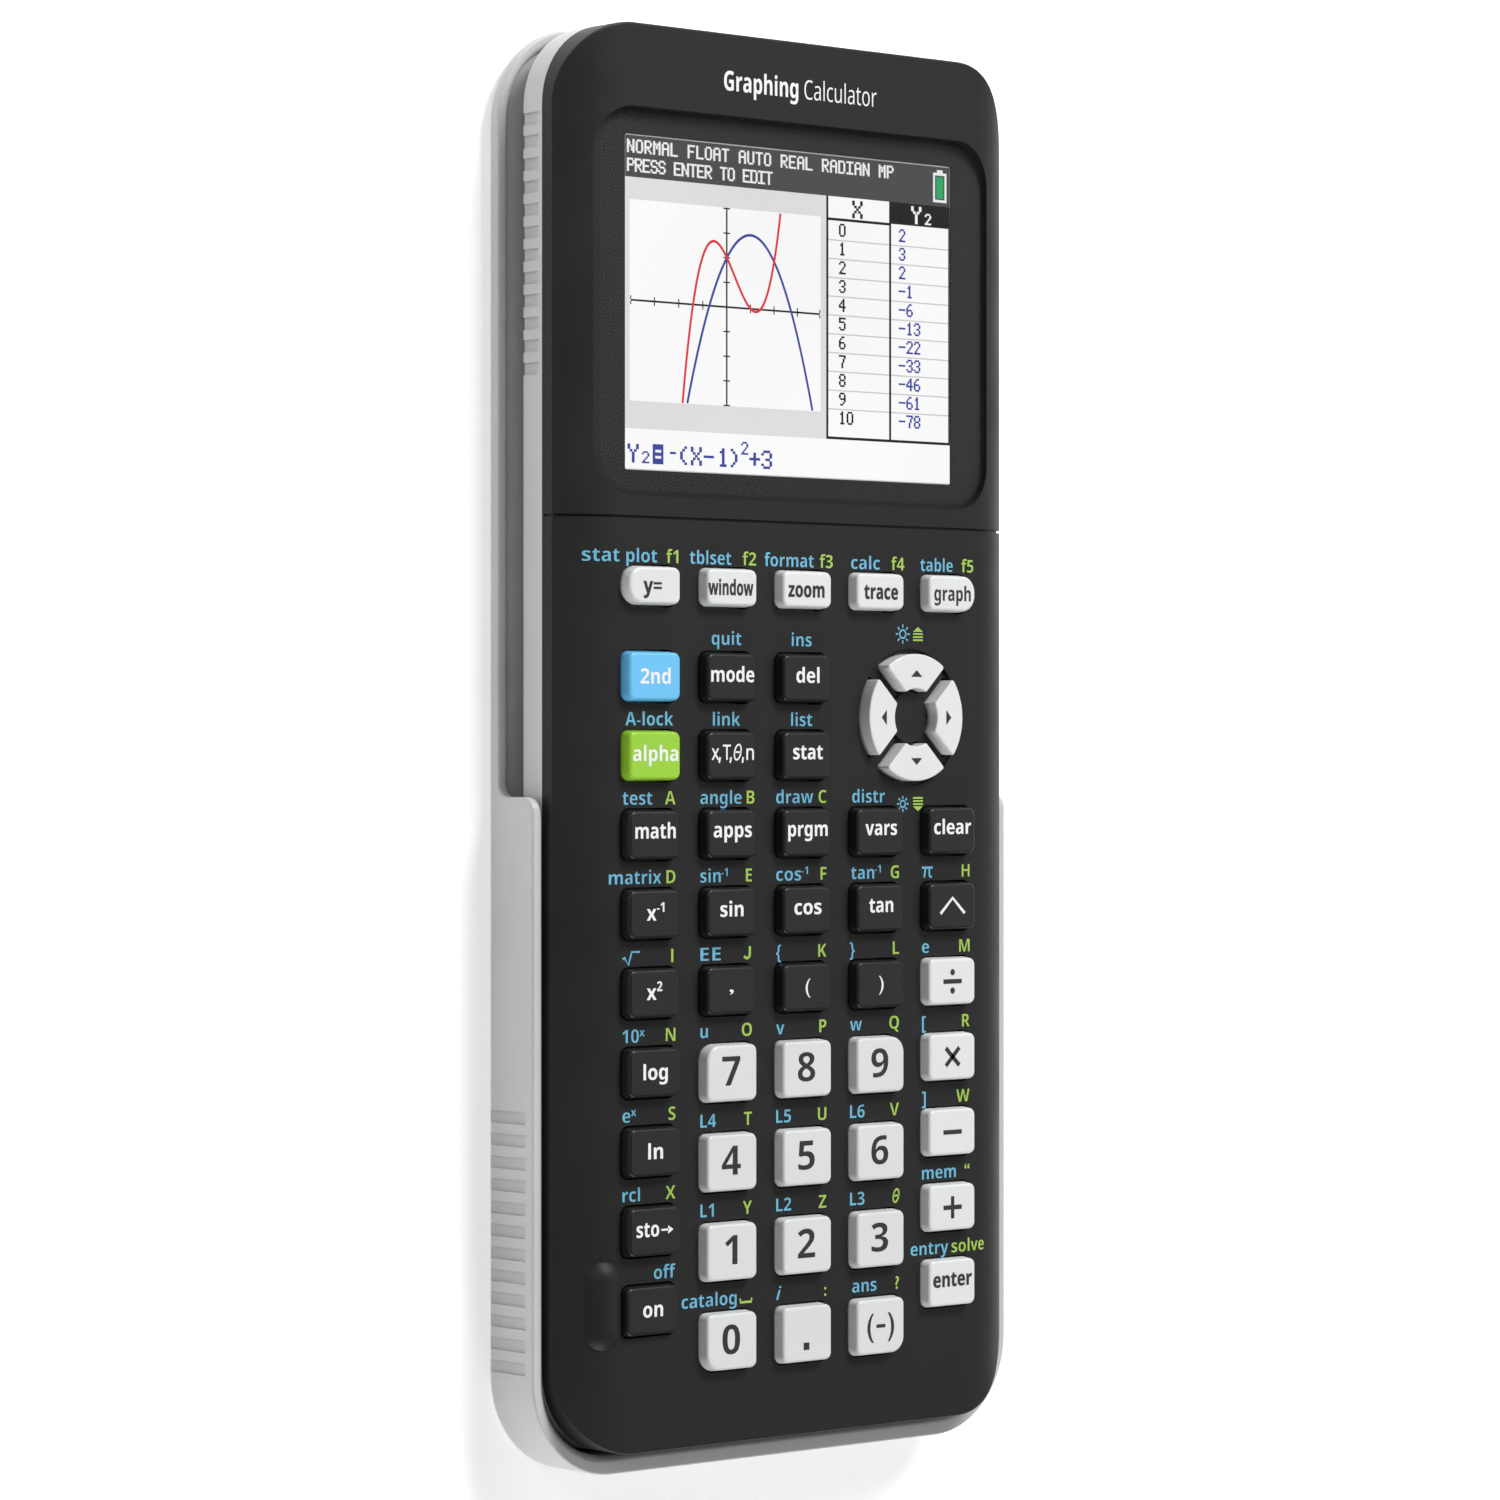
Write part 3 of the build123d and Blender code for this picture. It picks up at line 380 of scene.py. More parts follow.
class Print:
    """Gathers thin closed shapes between two heights into one mesh."""

    def __init__(self, low, high):
        self.low = low
        self.high = high
        self.points = []
        self.faces = []

    def prism(self, outline):
        """A shape with this outline."""
        start, count = len(self.points), len(outline)
        self.points += [(x, y, self.low) for x, y in outline]
        self.points += [(x, y, self.high) for x, y in outline]
        self.faces.append([start + i for i in reversed(range(count))])
        self.faces.append([start + count + i for i in range(count)])
        for i in range(count):
            j = (i + 1) % count
            self.faces.append([start + i, start + j, start + count + j, start + count + i])

    def rectangle(self, left, bottom, right, top):
        self.prism([(left, bottom), (right, bottom), (right, top), (left, top)])

    def loop(self, outer, inner):
        """A closed band between two outlines that have as many points as each other."""
        start, count = len(self.points), len(outer)
        for z in (self.low, self.high):
            for outline in (outer, inner):
                self.points += [(x, y, z) for x, y in outline]
        rings = [start, start + count, start + 3 * count, start + 2 * count, start]
        for a, b in zip(rings, rings[1:]):
            for i in range(count):
                j = (i + 1) % count
                self.faces.append([a + i, a + j, b + j, b + i])

    def stroke(self, path, width, closed=False):
        """A line of this width along a path."""
        left, right = [], []
        for i, (x, y) in enumerate(path):
            before = path[i - 1] if i or closed else path[i]
            after = path[(i + 1) % len(path)] if closed or i + 1 < len(path) else path[i]
            along = Vector((after[0] - before[0], after[1] - before[1])).normalized()
            left.append((x - along.y * width / 2, y + along.x * width / 2))
            right.append((x + along.y * width / 2, y - along.x * width / 2))
        if closed:
            self.loop(left, right)
            return
        start, count = len(self.points), len(path)
        for z in (self.low, self.high):
            for side in (left, right):
                self.points += [(x, y, z) for x, y in side]
        low_left, low_right, high_left, high_right = (start + count * i for i in range(4))
        sides = (
            (low_left, low_right), (high_right, high_left), (high_left, low_left), (low_right, high_right),
        )
        for i in range(count - 1):
            for a, b in sides:
                self.faces.append([a + i, a + i + 1, b + i + 1, b + i])
        for i in (0, count - 1):
            self.faces.append([low_left + i, low_right + i, high_right + i, high_left + i])

    def text(self, words, x, y, size, width=None, align="left", heavy=True, bold=0.0, slant=0.0, stretch=1.0):
        """Words on a baseline at y, in letters of this size, fitted to a width if one is given."""
        points, faces = lettering(words, heavy, bold, slant)
        natural = points[:, 0].max()
        across = width / natural if width else size * stretch
        left = x - {"left": 0, "centre": 0.5, "right": 1}[align] * natural * across
        start = len(self.points)
        thick = self.high - self.low
        self.points += [(left + px * across, y + py * size, self.low + pz * thick) for px, py, pz in points]
        self.faces += [[start + i for i in face] for face in faces]

    def piece(self, name, material, body, drape=False):
        """Makes the mesh, laid over the face's curve if asked, and puts it on its body."""
        mesh = bpy.data.meshes.new(name)
        places = [(x * MM, y * MM, (z - (face_drop(x) if drape else 0)) * MM) for x, y, z in self.points]
        mesh.from_pydata(places, [], self.faces)
        shape = bmesh.new()
        shape.from_mesh(mesh)
        bmesh.ops.remove_doubles(shape, verts=shape.verts, dist=0.001 * MM)
        bmesh.ops.recalc_face_normals(shape, faces=shape.faces)
        shape.to_mesh(mesh)
        shape.free()
        return place_piece(name, mesh, material, body)


def place_piece(name, mesh, material, body):
    mesh.materials.append(material)
    made = bpy.data.objects.new(name, mesh)
    bpy.context.collection.objects.link(made)
    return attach(made, body)


def circle(x, y, radius, count=24):
    return [
        (x + radius * math.cos(2 * math.pi * i / count), y + radius * math.sin(2 * math.pi * i / count))
        for i in range(count)
    ]


def rounded(x, y, width, height, radius, steps=8):
    """Outline of a rectangle with round corners, anticlockwise."""
    outline = []
    for turn, (sx, sy) in enumerate(((1, 1), (-1, 1), (-1, -1), (1, -1))):
        for i in range(steps + 1):
            angle = math.pi / 2 * (turn + i / steps)
            outline.append((
                x + sx * (width / 2 - radius) + radius * math.cos(angle),
                y + sy * (height / 2 - radius) + radius * math.sin(angle),
            ))
    return outline


# ---------------------------------------------------------------------------
# Printing on the face
# ---------------------------------------------------------------------------

INK_IN = 0.02
INK_OUT = 0.03
CAP_SHARE = 0.714
LEGEND_SIZE = 2.45
LEGEND_STRETCH = 1.08
LEGEND_WEIGHT = -0.01
SIGN_WEIGHT = 0.012
SLANT = 0.3

# Key, blue legend, green legend
FACE_LEGENDS = [
    ("y_equals", "stat plot", "f1"), ("window", "tblset", "f2"), ("zoom", "format", "f3"),
    ("trace", "calc", "f4"), ("graph", "table", "f5"), ("mode", "quit", ""), ("del", "ins", ""),
    ("alpha", "A-lock", ""), ("variable", "link", ""), ("stat", "list", ""), ("math", "test", "A"),
    ("apps", "angle", "B"), ("prgm", "draw", "C"), ("vars", "distr", " "),
    ("reciprocal", "matrix", "D"), ("sin", "sin", "E"), ("cos", "cos", "F"), ("tan", "tan", "G"),
    ("power", "π", "H"), ("square", "√", "I"), ("comma", "EE", "J"), ("open_bracket", "{", "K"),
    ("close_bracket", "}", "L"), ("divide", "e", "M"), ("log", "10", "N"), ("7", "u", "O"),
    ("8", "v", "P"), ("9", "w", "Q"), ("multiply", "[", "R"), ("ln", "e", "S"), ("4", "L4", "T"),
    ("5", "L5", "U"), ("6", "L6", "V"), ("minus", "]", "W"), ("sto", "rcl", "X"), ("1", "L1", "Y"),
    ("2", "L2", "Z"), ("3", "L3", "θ"), ("plus", "mem", "“"), ("enter", "entry", "solve"),
    ("on", "off", ""), ("0", "catalog", "␣"), ("point", "i", ":"), ("negative", "ans", "?"),
]
RAISED_ENDS = {"sin": "-1", "cos": "-1", "tan": "-1", "log": "x", "ln": "x"}
RAISED_SIZE = 1.5
RAISED_BY = 0.8
HIGHER_ROWS = {"mode", "del"}
# Where the blue legends of the top row and the green ones end, from the middle of their keys
TOP_ROW = {
    "y_equals": (1.5, 5.1), "window": (1.0, 5.35), "zoom": (2.35, 5.75),
    "trace": (1.1, 5.6), "graph": (1.4, 5.35),
}
LEFT_EDGE = {"reciprocal": -6.4, "enter": -6.4, "0": -7.5, "tan": -4.1, "vars": -3.9, "negative": -3.9}
RIGHT_EDGE = {"enter": 7.75, "0": 4.7, "apps": 5.05}
LEGEND_LEFT = -4.3
LEGEND_RIGHT = 4.6
LEGEND_WIDTHS = {
    "stat plot": 11.5, "tblset": 7.1, "format": 8.7, "calc": 5.2, "table": 6.0, "cos": 4.4, "EE": 3.5,
}


def legend_height(key):
    """How far a legend's baseline is above the middle of its key."""
    if key in TOP_ROW:
        return 3.0
    if key in HIGHER_ROWS:
        return 4.25
    return 4.65 if key in NUMBER_KEYS else 3.9


def legend(ink, words, x, y, align="left", size=LEGEND_SIZE):
    """A legend's words, or the sign drawn for it."""
    if words in DRAWN_SIGNS:
        DRAWN_SIGNS[words](ink, x, y)
        return
    slant = SLANT if words == "i" else 0.0
    weight = LEGEND_WEIGHT if words[0].isalnum() or words[0] == "-" else SIGN_WEIGHT
    width = LEGEND_WIDTHS.get(words)
    ink.text(words, x, y, size, width=width, align=align, bold=weight, slant=slant, stretch=LEGEND_STRETCH)


def draw_pi(ink, x, y):
    ink.stroke([(x, y + 1.35), (x + 2.0, y + 1.35)], 0.3)
    ink.stroke([(x + 0.62, y + 1.2), (x + 0.42, y)], 0.3)
    ink.stroke([(x + 1.35, y + 1.2), (x + 1.35, y + 0.3), (x + 1.5, y + 0.1), (x + 1.8, y + 0.1)], 0.3)


def draw_root(ink, x, y):
    tick = [(x, y + 0.6), (x + 0.35, y + 0.8), (x + 0.95, y - 0.2), (x + 1.55, y + 1.5), (x + 2.9, y + 1.5)]
    ink.stroke(tick, 0.28)


def draw_theta(ink, x, y, tall=1.75, line=0.25):
    """A slanted oval with a bar across it, which ends at x."""
    middle_x, middle_y, half = x - 0.3 * tall, y + tall / 2, 0.28 * tall
    oval = [
        (middle_x + half * math.cos(a) + 0.2 * tall / 2 * math.sin(a), middle_y + tall / 2 * math.sin(a))
        for a in (2 * math.pi * i / 24 for i in range(24))
    ]
    ink.stroke(oval, line, closed=True)
    ink.rectangle(middle_x - half, middle_y - line / 2, middle_x + half, middle_y + line / 2)


def draw_letter_i(ink, x, y):
    """A capital without the bars that the font gives it, ending at x."""
    ink.rectangle(x - 0.72, y, x - 0.34, y + LEGEND_SIZE * CAP_SHARE)


def draw_letter_j(ink, x, y):
    """A capital that stands on the line, ending at x."""
    turns = (-math.pi * i / 8 for i in range(8))
    hook = [(x - 0.85 + 0.5 * math.cos(a), y + 0.68 + 0.5 * math.sin(a)) for a in turns]
    ink.stroke([(x - 0.35, y + LEGEND_SIZE * CAP_SHARE)] + hook, 0.37)


def draw_space(ink, x, y):
    """A flat tray for the space, ending at x."""
    ink.stroke([(x - 2.1, y + 0.65), (x - 2.1, y + 0.15), (x - 0.15, y + 0.15), (x - 0.15, y + 0.65)], 0.32)


DRAWN_SIGNS = {
    "π": draw_pi, "√": draw_root, "θ": draw_theta,
    "I": draw_letter_i, "J": draw_letter_j, "␣": draw_space,
}


def print_face_legends():
    blue = Print(FACE_Z - INK_IN, FACE_Z + INK_OUT)
    green = Print(FACE_Z - INK_IN, FACE_Z + INK_OUT)
    for key, second, letter in FACE_LEGENDS:
        middle = node_centre("key_" + key)
        y = middle.y + legend_height(key)
        left = middle.x + LEFT_EDGE.get(key, LEGEND_LEFT)
        right = middle.x + RIGHT_EDGE.get(key, LEGEND_RIGHT)
        if key in TOP_ROW:
            blue_end, green_end = TOP_ROW[key]
            legend(blue, second, middle.x + blue_end, y, align="right")
            right = middle.x + green_end
        elif key == "on":
            legend(blue, second, right, y, align="right")
        elif not letter:
            legend(blue, second, middle.x + 0.2, y, align="centre")
        else:
            start = len(blue.points)
            legend(blue, second, left, y)
            if key in RAISED_ENDS:
                end = max(point[0] for point in blue.points[start:])
                legend(blue, RAISED_ENDS[key], end + 0.12, y + RAISED_BY, size=RAISED_SIZE)
        if letter.strip():
            legend(green, letter, right, y, align="right")
    draw_brightness_signs(blue, green)
    blue.piece("legends_blue", blue_ink, "calculator", drape=True)
    green.piece("legends_green", green_ink, "calculator", drape=True)


def draw_brightness_signs(blue, green):
    """A sun and a stack of lines above and below the arrow keys, for a brighter or darker display."""
    ring_x = (node_centre("key_left").x + node_centre("key_right").x) / 2
    for key, rise, ray in (("up", 5.3, 1.3), ("down", -5.7, 1.05)):
        y = node_centre("key_" + key).y + rise
        x = ring_x - 1.2
        blue.loop(circle(x, y, ray * 0.52, 16), circle(x, y, ray * 0.34, 16))
        for i in range(8):
            angle = math.pi / 4 * i
            blue.stroke(
                [(x + r * math.cos(angle), y + r * math.sin(angle)) for r in (ray * 0.66, ray)], 0.22
            )
        x = ring_x + 1.6
        side = 1 if key == "up" else -1
        green.prism([(x - 0.9, y + 0.35 * side), (x + 0.9, y + 0.35 * side), (x, y + 0.98 * side)])
        for i in range(3):
            level = y + (0.05 - i * 0.42) * side
            green.rectangle(x - 0.9, level - 0.11, x + 0.9, level + 0.11)


TITLE_RISE = 85.0
TITLE_SIZE = 3.6


def print_title():
    """A generic name above the window, in a bold and a light word."""
    title = Print(FACE_Z - INK_IN, FACE_Z + INK_OUT)
    y = MIDDLE_Y + TITLE_RISE
    title.text("Graphing", -13.4, y, TITLE_SIZE, width=13.0)
    title.text("Calculator", 0.7, y, TITLE_SIZE, width=13.0, heavy=False, bold=-0.006)
    title.piece("title", white_ink, "calculator")


# ---------------------------------------------------------------------------
# Printing on the keys
# ---------------------------------------------------------------------------

# Key: words, width, baseline below the key's middle
KEY_LABELS = {
    "y_equals": ("y=", 3.1, 1.0), "window": ("window", 7.75, 1.0), "zoom": ("zoom", 6.4, 1.0),
    "trace": ("trace", 6.15, 1.0), "graph": ("graph", 6.8, 1.0),
    "second": ("2nd", 5.05, 0.95), "mode": ("mode", 7.45, 0.6), "del": ("del", 4.1, 0.6),
    "alpha": ("alpha", 7.6, 0.7), "stat": ("stat", 5.25, 0.5),
    "math": ("math", 6.8, 0.45), "apps": ("apps", 6.6, 0.45), "prgm": ("prgm", 7.0, 0.45),
    "vars": ("vars", 5.75, 0.45), "clear": ("clear", 6.9, 0.45),
    "reciprocal": ("x", 1.65, 0.8), "sin": ("sin", 4.0, 0.57), "cos": ("cos", 4.8, 0.57),
    "tan": ("tan", 4.35, 0.57),
    "square": ("x", 1.65, 0.8), "comma": (",", 0.7, 0.2), "open_bracket": ("(", 0.85, 0.75),
    "close_bracket": (")", 0.85, 0.75), "log": ("log", 4.1, 0.87), "ln": ("ln", 2.5, 0.87),
    "on": ("on", 3.35, 0.82), "enter": ("enter", 7.2, 0.47),
}
KEY_LETTER = 2.75
# The g and the w don't fill cleanly when they are made heavier by as much as the other letters
LABEL_WEIGHTS = {"graph": 0.0, "window": 0.01}
SIDE_STEP = {"y_equals": -0.5, "window": -0.3, "zoom": -0.25, "comma": -0.2, "sin": -0.15}
POWERS = {"reciprocal": "-1", "square": "2"}
POWER_SIZE = 1.75
DIGIT_TALL = 3.85
DIGIT_STRETCH = 1.15
SIGN_WIDE = 3.4
SIGN_TALL = 3.0
SIGN_LINE = 0.6
ARROW_REACH = 5.9


def key_print(key):
    """A sheet of print at the top of this key, with the key's middle."""
    top = node_box("key_" + key)[1].z
    return Print(top - INK_IN, top + INK_OUT), node_centre("key_" + key)


def print_key_labels():
    for key, (words, width, drop) in KEY_LABELS.items():
        sheet, middle = key_print(key)
        x, y = middle.x + SIDE_STEP.get(key, 0), middle.y - drop
        bold = LABEL_WEIGHTS.get(key, 0.012 if key in LIGHT_KEYS else 0.0)
        if key in POWERS:
            sheet.text(words, x - 1.5, y, KEY_LETTER, width=width)
            sheet.text(POWERS[key], x + 0.25, y + 1.1, POWER_SIZE)
        else:
            sheet.text(words, x, y, KEY_LETTER, width=width, align="centre", bold=bold)
        ink = black_ink if key in LIGHT_KEYS else white_ink
        sheet.piece("label_" + key, ink, "key_" + key)

    sheet, middle = key_print("variable")
    y = middle.y - 0.55
    for words, x, width in (("x", -3.65, 1.3), ("T", -1.7, 1.35), ("n", 2.35, 1.3)):
        sheet.text(words, middle.x + x, y, KEY_LETTER, width=width, heavy=False, bold=0.008)
    for x in (-2.2, -0.3, 1.8):
        sheet.stroke([(middle.x + x, y + 0.35), (middle.x + x - 0.15, y - 0.4)], 0.28)
    draw_theta(sheet, middle.x + 1.45, y, tall=2.0, line=0.22)
    sheet.piece("label_variable", white_ink, "key_variable")


def print_digits():
    for key in NUMBER_KEYS:
        sheet, middle = key_print(key)
        if key == "point":
            sheet.rectangle(middle.x - 0.75, middle.y - 2.1, middle.x + 0.25, middle.y - 1.15)
        elif key == "negative":
            sheet.text("(", middle.x - 2.5, middle.y - 1.1, 4.1, width=1.15, bold=0.012)
            sheet.text(")", middle.x + 1.2, middle.y - 1.1, 4.1, width=1.15, bold=0.012)
            sheet.rectangle(middle.x - 0.85, middle.y - 0.15, middle.x + 0.75, middle.y + 0.3)
        else:
            size = DIGIT_TALL / CAP_SHARE
            x, y = middle.x - 0.25, middle.y + 0.3 - DIGIT_TALL / 2
            sheet.text(key, x, y, size, align="centre", bold=-0.006, stretch=DIGIT_STRETCH)
        sheet.piece("label_" + key, black_ink, "key_" + key)


def print_signs():
    """Divide, multiply, minus and plus, the power sign and the store arrow."""
    half, line = SIGN_WIDE / 2, SIGN_LINE / 2
    for key in ("divide", "multiply", "minus", "plus"):
        sheet, middle = key_print(key)
        x, y = middle.x, middle.y
        if key == "multiply":
            for side in (1, -1):
                sheet.stroke([(x - 1.25, y - 1.2 * side), (x + 1.25, y + 1.2 * side)], SIGN_LINE)
        else:
            sheet.rectangle(x - half, y - line, x + half, y + line)
        if key == "plus":
            sheet.rectangle(x - line, y + line, x + line, y + SIGN_TALL / 2)
            sheet.rectangle(x - line, y - SIGN_TALL / 2, x + line, y - line)
        if key == "divide":
            for side in (1, -1):
                sheet.prism(circle(x, y + 1.25 * side, 0.42, 16))
        sheet.piece("label_" + key, black_ink, "key_" + key)

    sheet, middle = key_print("power")
    peak = [(middle.x - 2.25, middle.y - 1.0), (middle.x, middle.y + 1.1), (middle.x + 2.25, middle.y - 1.0)]
    sheet.stroke(peak, 0.42)
    sheet.piece("label_power", white_ink, "key_power")

    sheet, middle = key_print("sto")
    x, y = middle.x - 3.2, middle.y - 0.62
    sheet.text("sto", x, y, KEY_LETTER, width=3.8)
    shaft_y = y + 0.78
    sheet.rectangle(x + 4.15, shaft_y - 0.13, x + 5.45, shaft_y + 0.13)
    sheet.prism([(x + 5.3, shaft_y - 0.55), (x + 6.2, shaft_y), (x + 5.3, shaft_y + 0.55)])
    sheet.piece("label_sto", white_ink, "key_sto")


def print_arrows():
    """A small triangle on each arrow key, pointing away from the middle."""
    middle_x = (node_centre("key_left").x + node_centre("key_right").x) / 2
    middle_y = (node_centre("key_up").y + node_centre("key_down").y) / 2
    for key, (ax, ay) in {"right": (1, 0), "up": (0, 1), "left": (-1, 0), "down": (0, -1)}.items():
        sheet, _ = key_print(key)
        x, y = middle_x + ARROW_REACH * ax, middle_y + ARROW_REACH * ay
        sheet.prism([
            (x + 0.5 * ax, y + 0.5 * ay),
            (x - 0.4 * ax - 1.0 * ay, y - 0.4 * ay + 1.0 * ax),
            (x - 0.4 * ax + 1.0 * ay, y - 0.4 * ay - 1.0 * ax),
        ])
        sheet.piece("label_" + key, black_ink, "key_" + key)


# ---------------------------------------------------------------------------
# Display: 320 by 240 dots, counted from its top left corner
# ---------------------------------------------------------------------------

DOT = 0.18
DOTS_WIDE = 320
DOTS_TALL = 240
LAYER = 0.015
STATUS_TALL = 30

# Letters five dots wide and seven tall, top row first
LETTERS = {
    "A": ".###. #...# #...# ##### #...# #...# #...#", "D": "####. #...# #...# #...# #...# #...# ####.",
    "E": "##### #.... #.... ####. #.... #.... #####", "F": "##### #.... #.... ####. #.... #.... #....",
    "I": "##### ..#.. ..#.. ..#.. ..#.. ..#.. #####", "L": "#.... #.... #.... #.... #.... #.... #####",
    "M": "#...# ##.## #.#.# #.#.# #...# #...# #...#", "N": "#...# ##..# ##..# #.#.# #..## #..## #...#",
    "O": ".###. #...# #...# #...# #...# #...# .###.", "P": "####. #...# #...# ####. #.... #.... #....",
    "R": "####. #...# #...# ####. #.#.. #..#. #...#", "S": ".###. #...# #.... .###. ....# #...# .###.",
    "T": "##### ..#.. ..#.. ..#.. ..#.. ..#.. ..#..", "U": "#...# #...# #...# #...# #...# #...# .###.",
    "X": "#...# #...# .#.#. ..#.. .#.#. #...# #...#", "Y": "#...# #...# .#.#. ..#.. ..#.. ..#.. ..#..",
    "0": ".###. #...# #...# #...# #...# #...# .###.", "1": "..#.. .##.. ..#.. ..#.. ..#.. ..#.. .###.",
    "2": ".###. #...# ....# ...#. ..#.. .#... #####", "3": ".###. #...# ....# ..##. ....# #...# .###.",
    "4": "...#. ..##. .#.#. #..#. ##### ...#. ...#.", "5": "##### #.... ####. ....# ....# #...# .###.",
    "6": "..##. .#... #.... ####. #...# #...# .###.", "7": "##### ....# ...#. ...#. ..#.. ..#.. ..#..",
    "8": ".###. #...# #...# .###. #...# #...# .###.", "9": ".###. #...# #...# .#### ....# ...#. .##..",
    "-": "..... ..... ..... ##### ..... ..... .....", "+": "..... ..#.. ..#.. ##### ..#.. ..#.. .....",
    "=": "..... ..... ##### ..... ##### ..... .....", "(": "...#. ..#.. .#... .#... .#... ..#.. ...#.",
    ")": ".#... ..#.. ...#. ...#. ...#. ..#.. .#...",
}


class Dots(Print):
    """A layer of the display's picture, drawn in display dots: across from the left and down from the top."""

    def __init__(self, layer):
        low = PANEL_TOP + layer * LAYER
        super().__init__(low, low + LAYER)

    def area(self, left, top, right, bottom):
        self.rectangle(*self.at(left, bottom), *self.at(right, top))

    @staticmethod
    def at(across, down):
        return (
            WINDOW_MIDDLE.x + (across - DOTS_WIDE / 2) * DOT,
            WINDOW_MIDDLE.y + (DOTS_TALL / 2 - down) * DOT,
        )

    def letter(self, sign, left, top, dot_wide, dot_tall, heavier):
        for row, pattern in enumerate(LETTERS[sign].split()):
            column = 0
            while column < len(pattern):
                run = len(pattern[column:]) - len(pattern[column:].lstrip("#"))
                if run:
                    self.area(
                        left + column * dot_wide,
                        top + row * dot_tall,
                        left + (column + run) * dot_wide + heavier,
                        top + (row + 1) * dot_tall,
                    )
                column += max(run, 1)

    def line(self, words, left, top, advance, dot_wide=1.3, dot_tall=1.4, heavier=0.6):
        for i, sign in enumerate(words):
            if sign != " ":
                self.letter(sign, left + i * advance, top, dot_wide, dot_tall, heavier)


PLOT_LEFT = 4.0
PLOT_TOP = 46.0
PLOT_RIGHT = 188.5
PLOT_BOTTOM = 191.0
ORIGIN_X = 96.2
ORIGIN_Y = 118.6
UNIT_ACROSS = 23.0
UNIT_UP = 18.0
TABLE_LEFT = 194
TABLE_MIDDLE = 257.5
TABLE_RIGHT = 318.5
TABLE_TOP = 30
TABLE_BOTTOM = 209
HEADER_BOTTOM = 46.5
ROW_TALL = 14.0
ROW_COUNT = 11
LETTER_TALL = 9.7
# Where the cubic leaves the bottom and the top of the plot
CUBIC_START = -1.846
CUBIC_END = 2.27

LIT_BLACK = lit_dots("lit_black", (0.006, 0.006, 0.007))
LIT_BLUE = lit_dots("lit_blue", (0.04, 0.06, 0.35))
LIT_WHITE = lit_dots("lit_letters", (0.95, 0.95, 0.95))


def parabola(x):
    return -((x - 1) ** 2) + 3


def cubic(x):
    return x**3 - x**2 - 2 * x + 2


def plot(layer, function, start, end, steps=60):
    """The line of a function between two places where it leaves the plot."""
    path = []
    for i in range(steps + 1):
        x = start + (end - start) * i / steps
        path.append(layer.at(ORIGIN_X + x * UNIT_ACROSS, ORIGIN_Y - function(x) * UNIT_UP))
    layer.stroke(path, 2.0 * DOT)


def draw_display():
    back = Dots(0)
    back.area(0, STATUS_TALL, DOTS_WIDE, DOTS_TALL)
    back.piece("display_white", lit_dots("lit_white", (1.0, 1.0, 1.0)), "calculator")

    bar = Dots(0)
    bar.area(0, 0, DOTS_WIDE, STATUS_TALL)
    bar.piece("display_status_bar", lit_dots("lit_dark_grey", (0.065, 0.068, 0.07)), "calculator")

    status = Dots(1)
    status.line("NORMAL FLOAT AUTO REAL RADIAN MP", 1.5, 2.8, 8.18)
    status.line("PRESS ENTER TO EDIT", 1.5, 16.4, 7.35)
    left, top, right, bottom = 302.8, 4.6, 316.7, 27
    status.area(left, top, left + 2, bottom)
    status.area(right - 2, top, right, bottom)
    status.area(left + 2, top, right - 2, top + 2)
    status.area(left + 2, bottom - 2, right - 2, bottom)
    status.area(left + 4, top - 2.2, right - 4, top)
    status.piece("display_status_text", lit_dots("lit_text", (0.86, 0.87, 0.87)), "calculator")

    charge = Dots(1)
    charge.area(left + 3.4, top + 3.2, right - 3.4, bottom - 3)
    charge.piece("display_charge", lit_dots("lit_green", (0.02, 0.4, 0.12)), "calculator")

    border = Dots(1)
    border.area(0, STATUS_TALL, TABLE_LEFT, PLOT_TOP)
    border.area(0, PLOT_BOTTOM, TABLE_LEFT, TABLE_BOTTOM + 2)
    border.area(0, PLOT_TOP, PLOT_LEFT, PLOT_BOTTOM)
    border.area(PLOT_RIGHT, PLOT_TOP, TABLE_LEFT, PLOT_BOTTOM)
    border.piece("display_plot_border", lit_dots("lit_pale_grey", (0.78, 0.755, 0.765)), "calculator")

    draw_plot()
    draw_table()
    draw_prompt()


def draw_plot():
    axes = Dots(2)
    tick = 3.2
    axes.area(PLOT_LEFT + 1, ORIGIN_Y - 0.7, PLOT_RIGHT - 1, ORIGIN_Y + 0.7)
    axes.area(ORIGIN_X - 0.7, PLOT_TOP, ORIGIN_X + 0.7, ORIGIN_Y - 0.7)
    axes.area(ORIGIN_X - 0.7, ORIGIN_Y + 0.7, ORIGIN_X + 0.7, PLOT_BOTTOM)
    for step in (-4, -3, -2, -1, 1, 2, 3, 4):
        x = min(max(ORIGIN_X + step * UNIT_ACROSS, PLOT_LEFT + 1), PLOT_RIGHT - 1)
        y = ORIGIN_Y + step * UNIT_UP
        axes.area(x - 0.5, ORIGIN_Y - tick, x + 0.5, ORIGIN_Y - 0.7)
        axes.area(x - 0.5, ORIGIN_Y + 0.7, x + 0.5, ORIGIN_Y + tick)
        axes.area(ORIGIN_X - tick, y - 0.5, ORIGIN_X - 0.7, y + 0.5)
        axes.area(ORIGIN_X + 0.7, y - 0.5, ORIGIN_X + tick, y + 0.5)
    axes.piece("display_axes", LIT_BLACK, "calculator")

    reach = math.sqrt(7)
    blue = Dots(3)
    plot(blue, parabola, 1 - reach, 1 + reach)
    blue.piece("display_parabola", LIT_BLUE, "calculator")
    red = Dots(4)
    plot(red, cubic, CUBIC_START, CUBIC_END)
    red.piece("display_cubic", lit_dots("lit_red", (0.75, 0.03, 0.04)), "calculator")


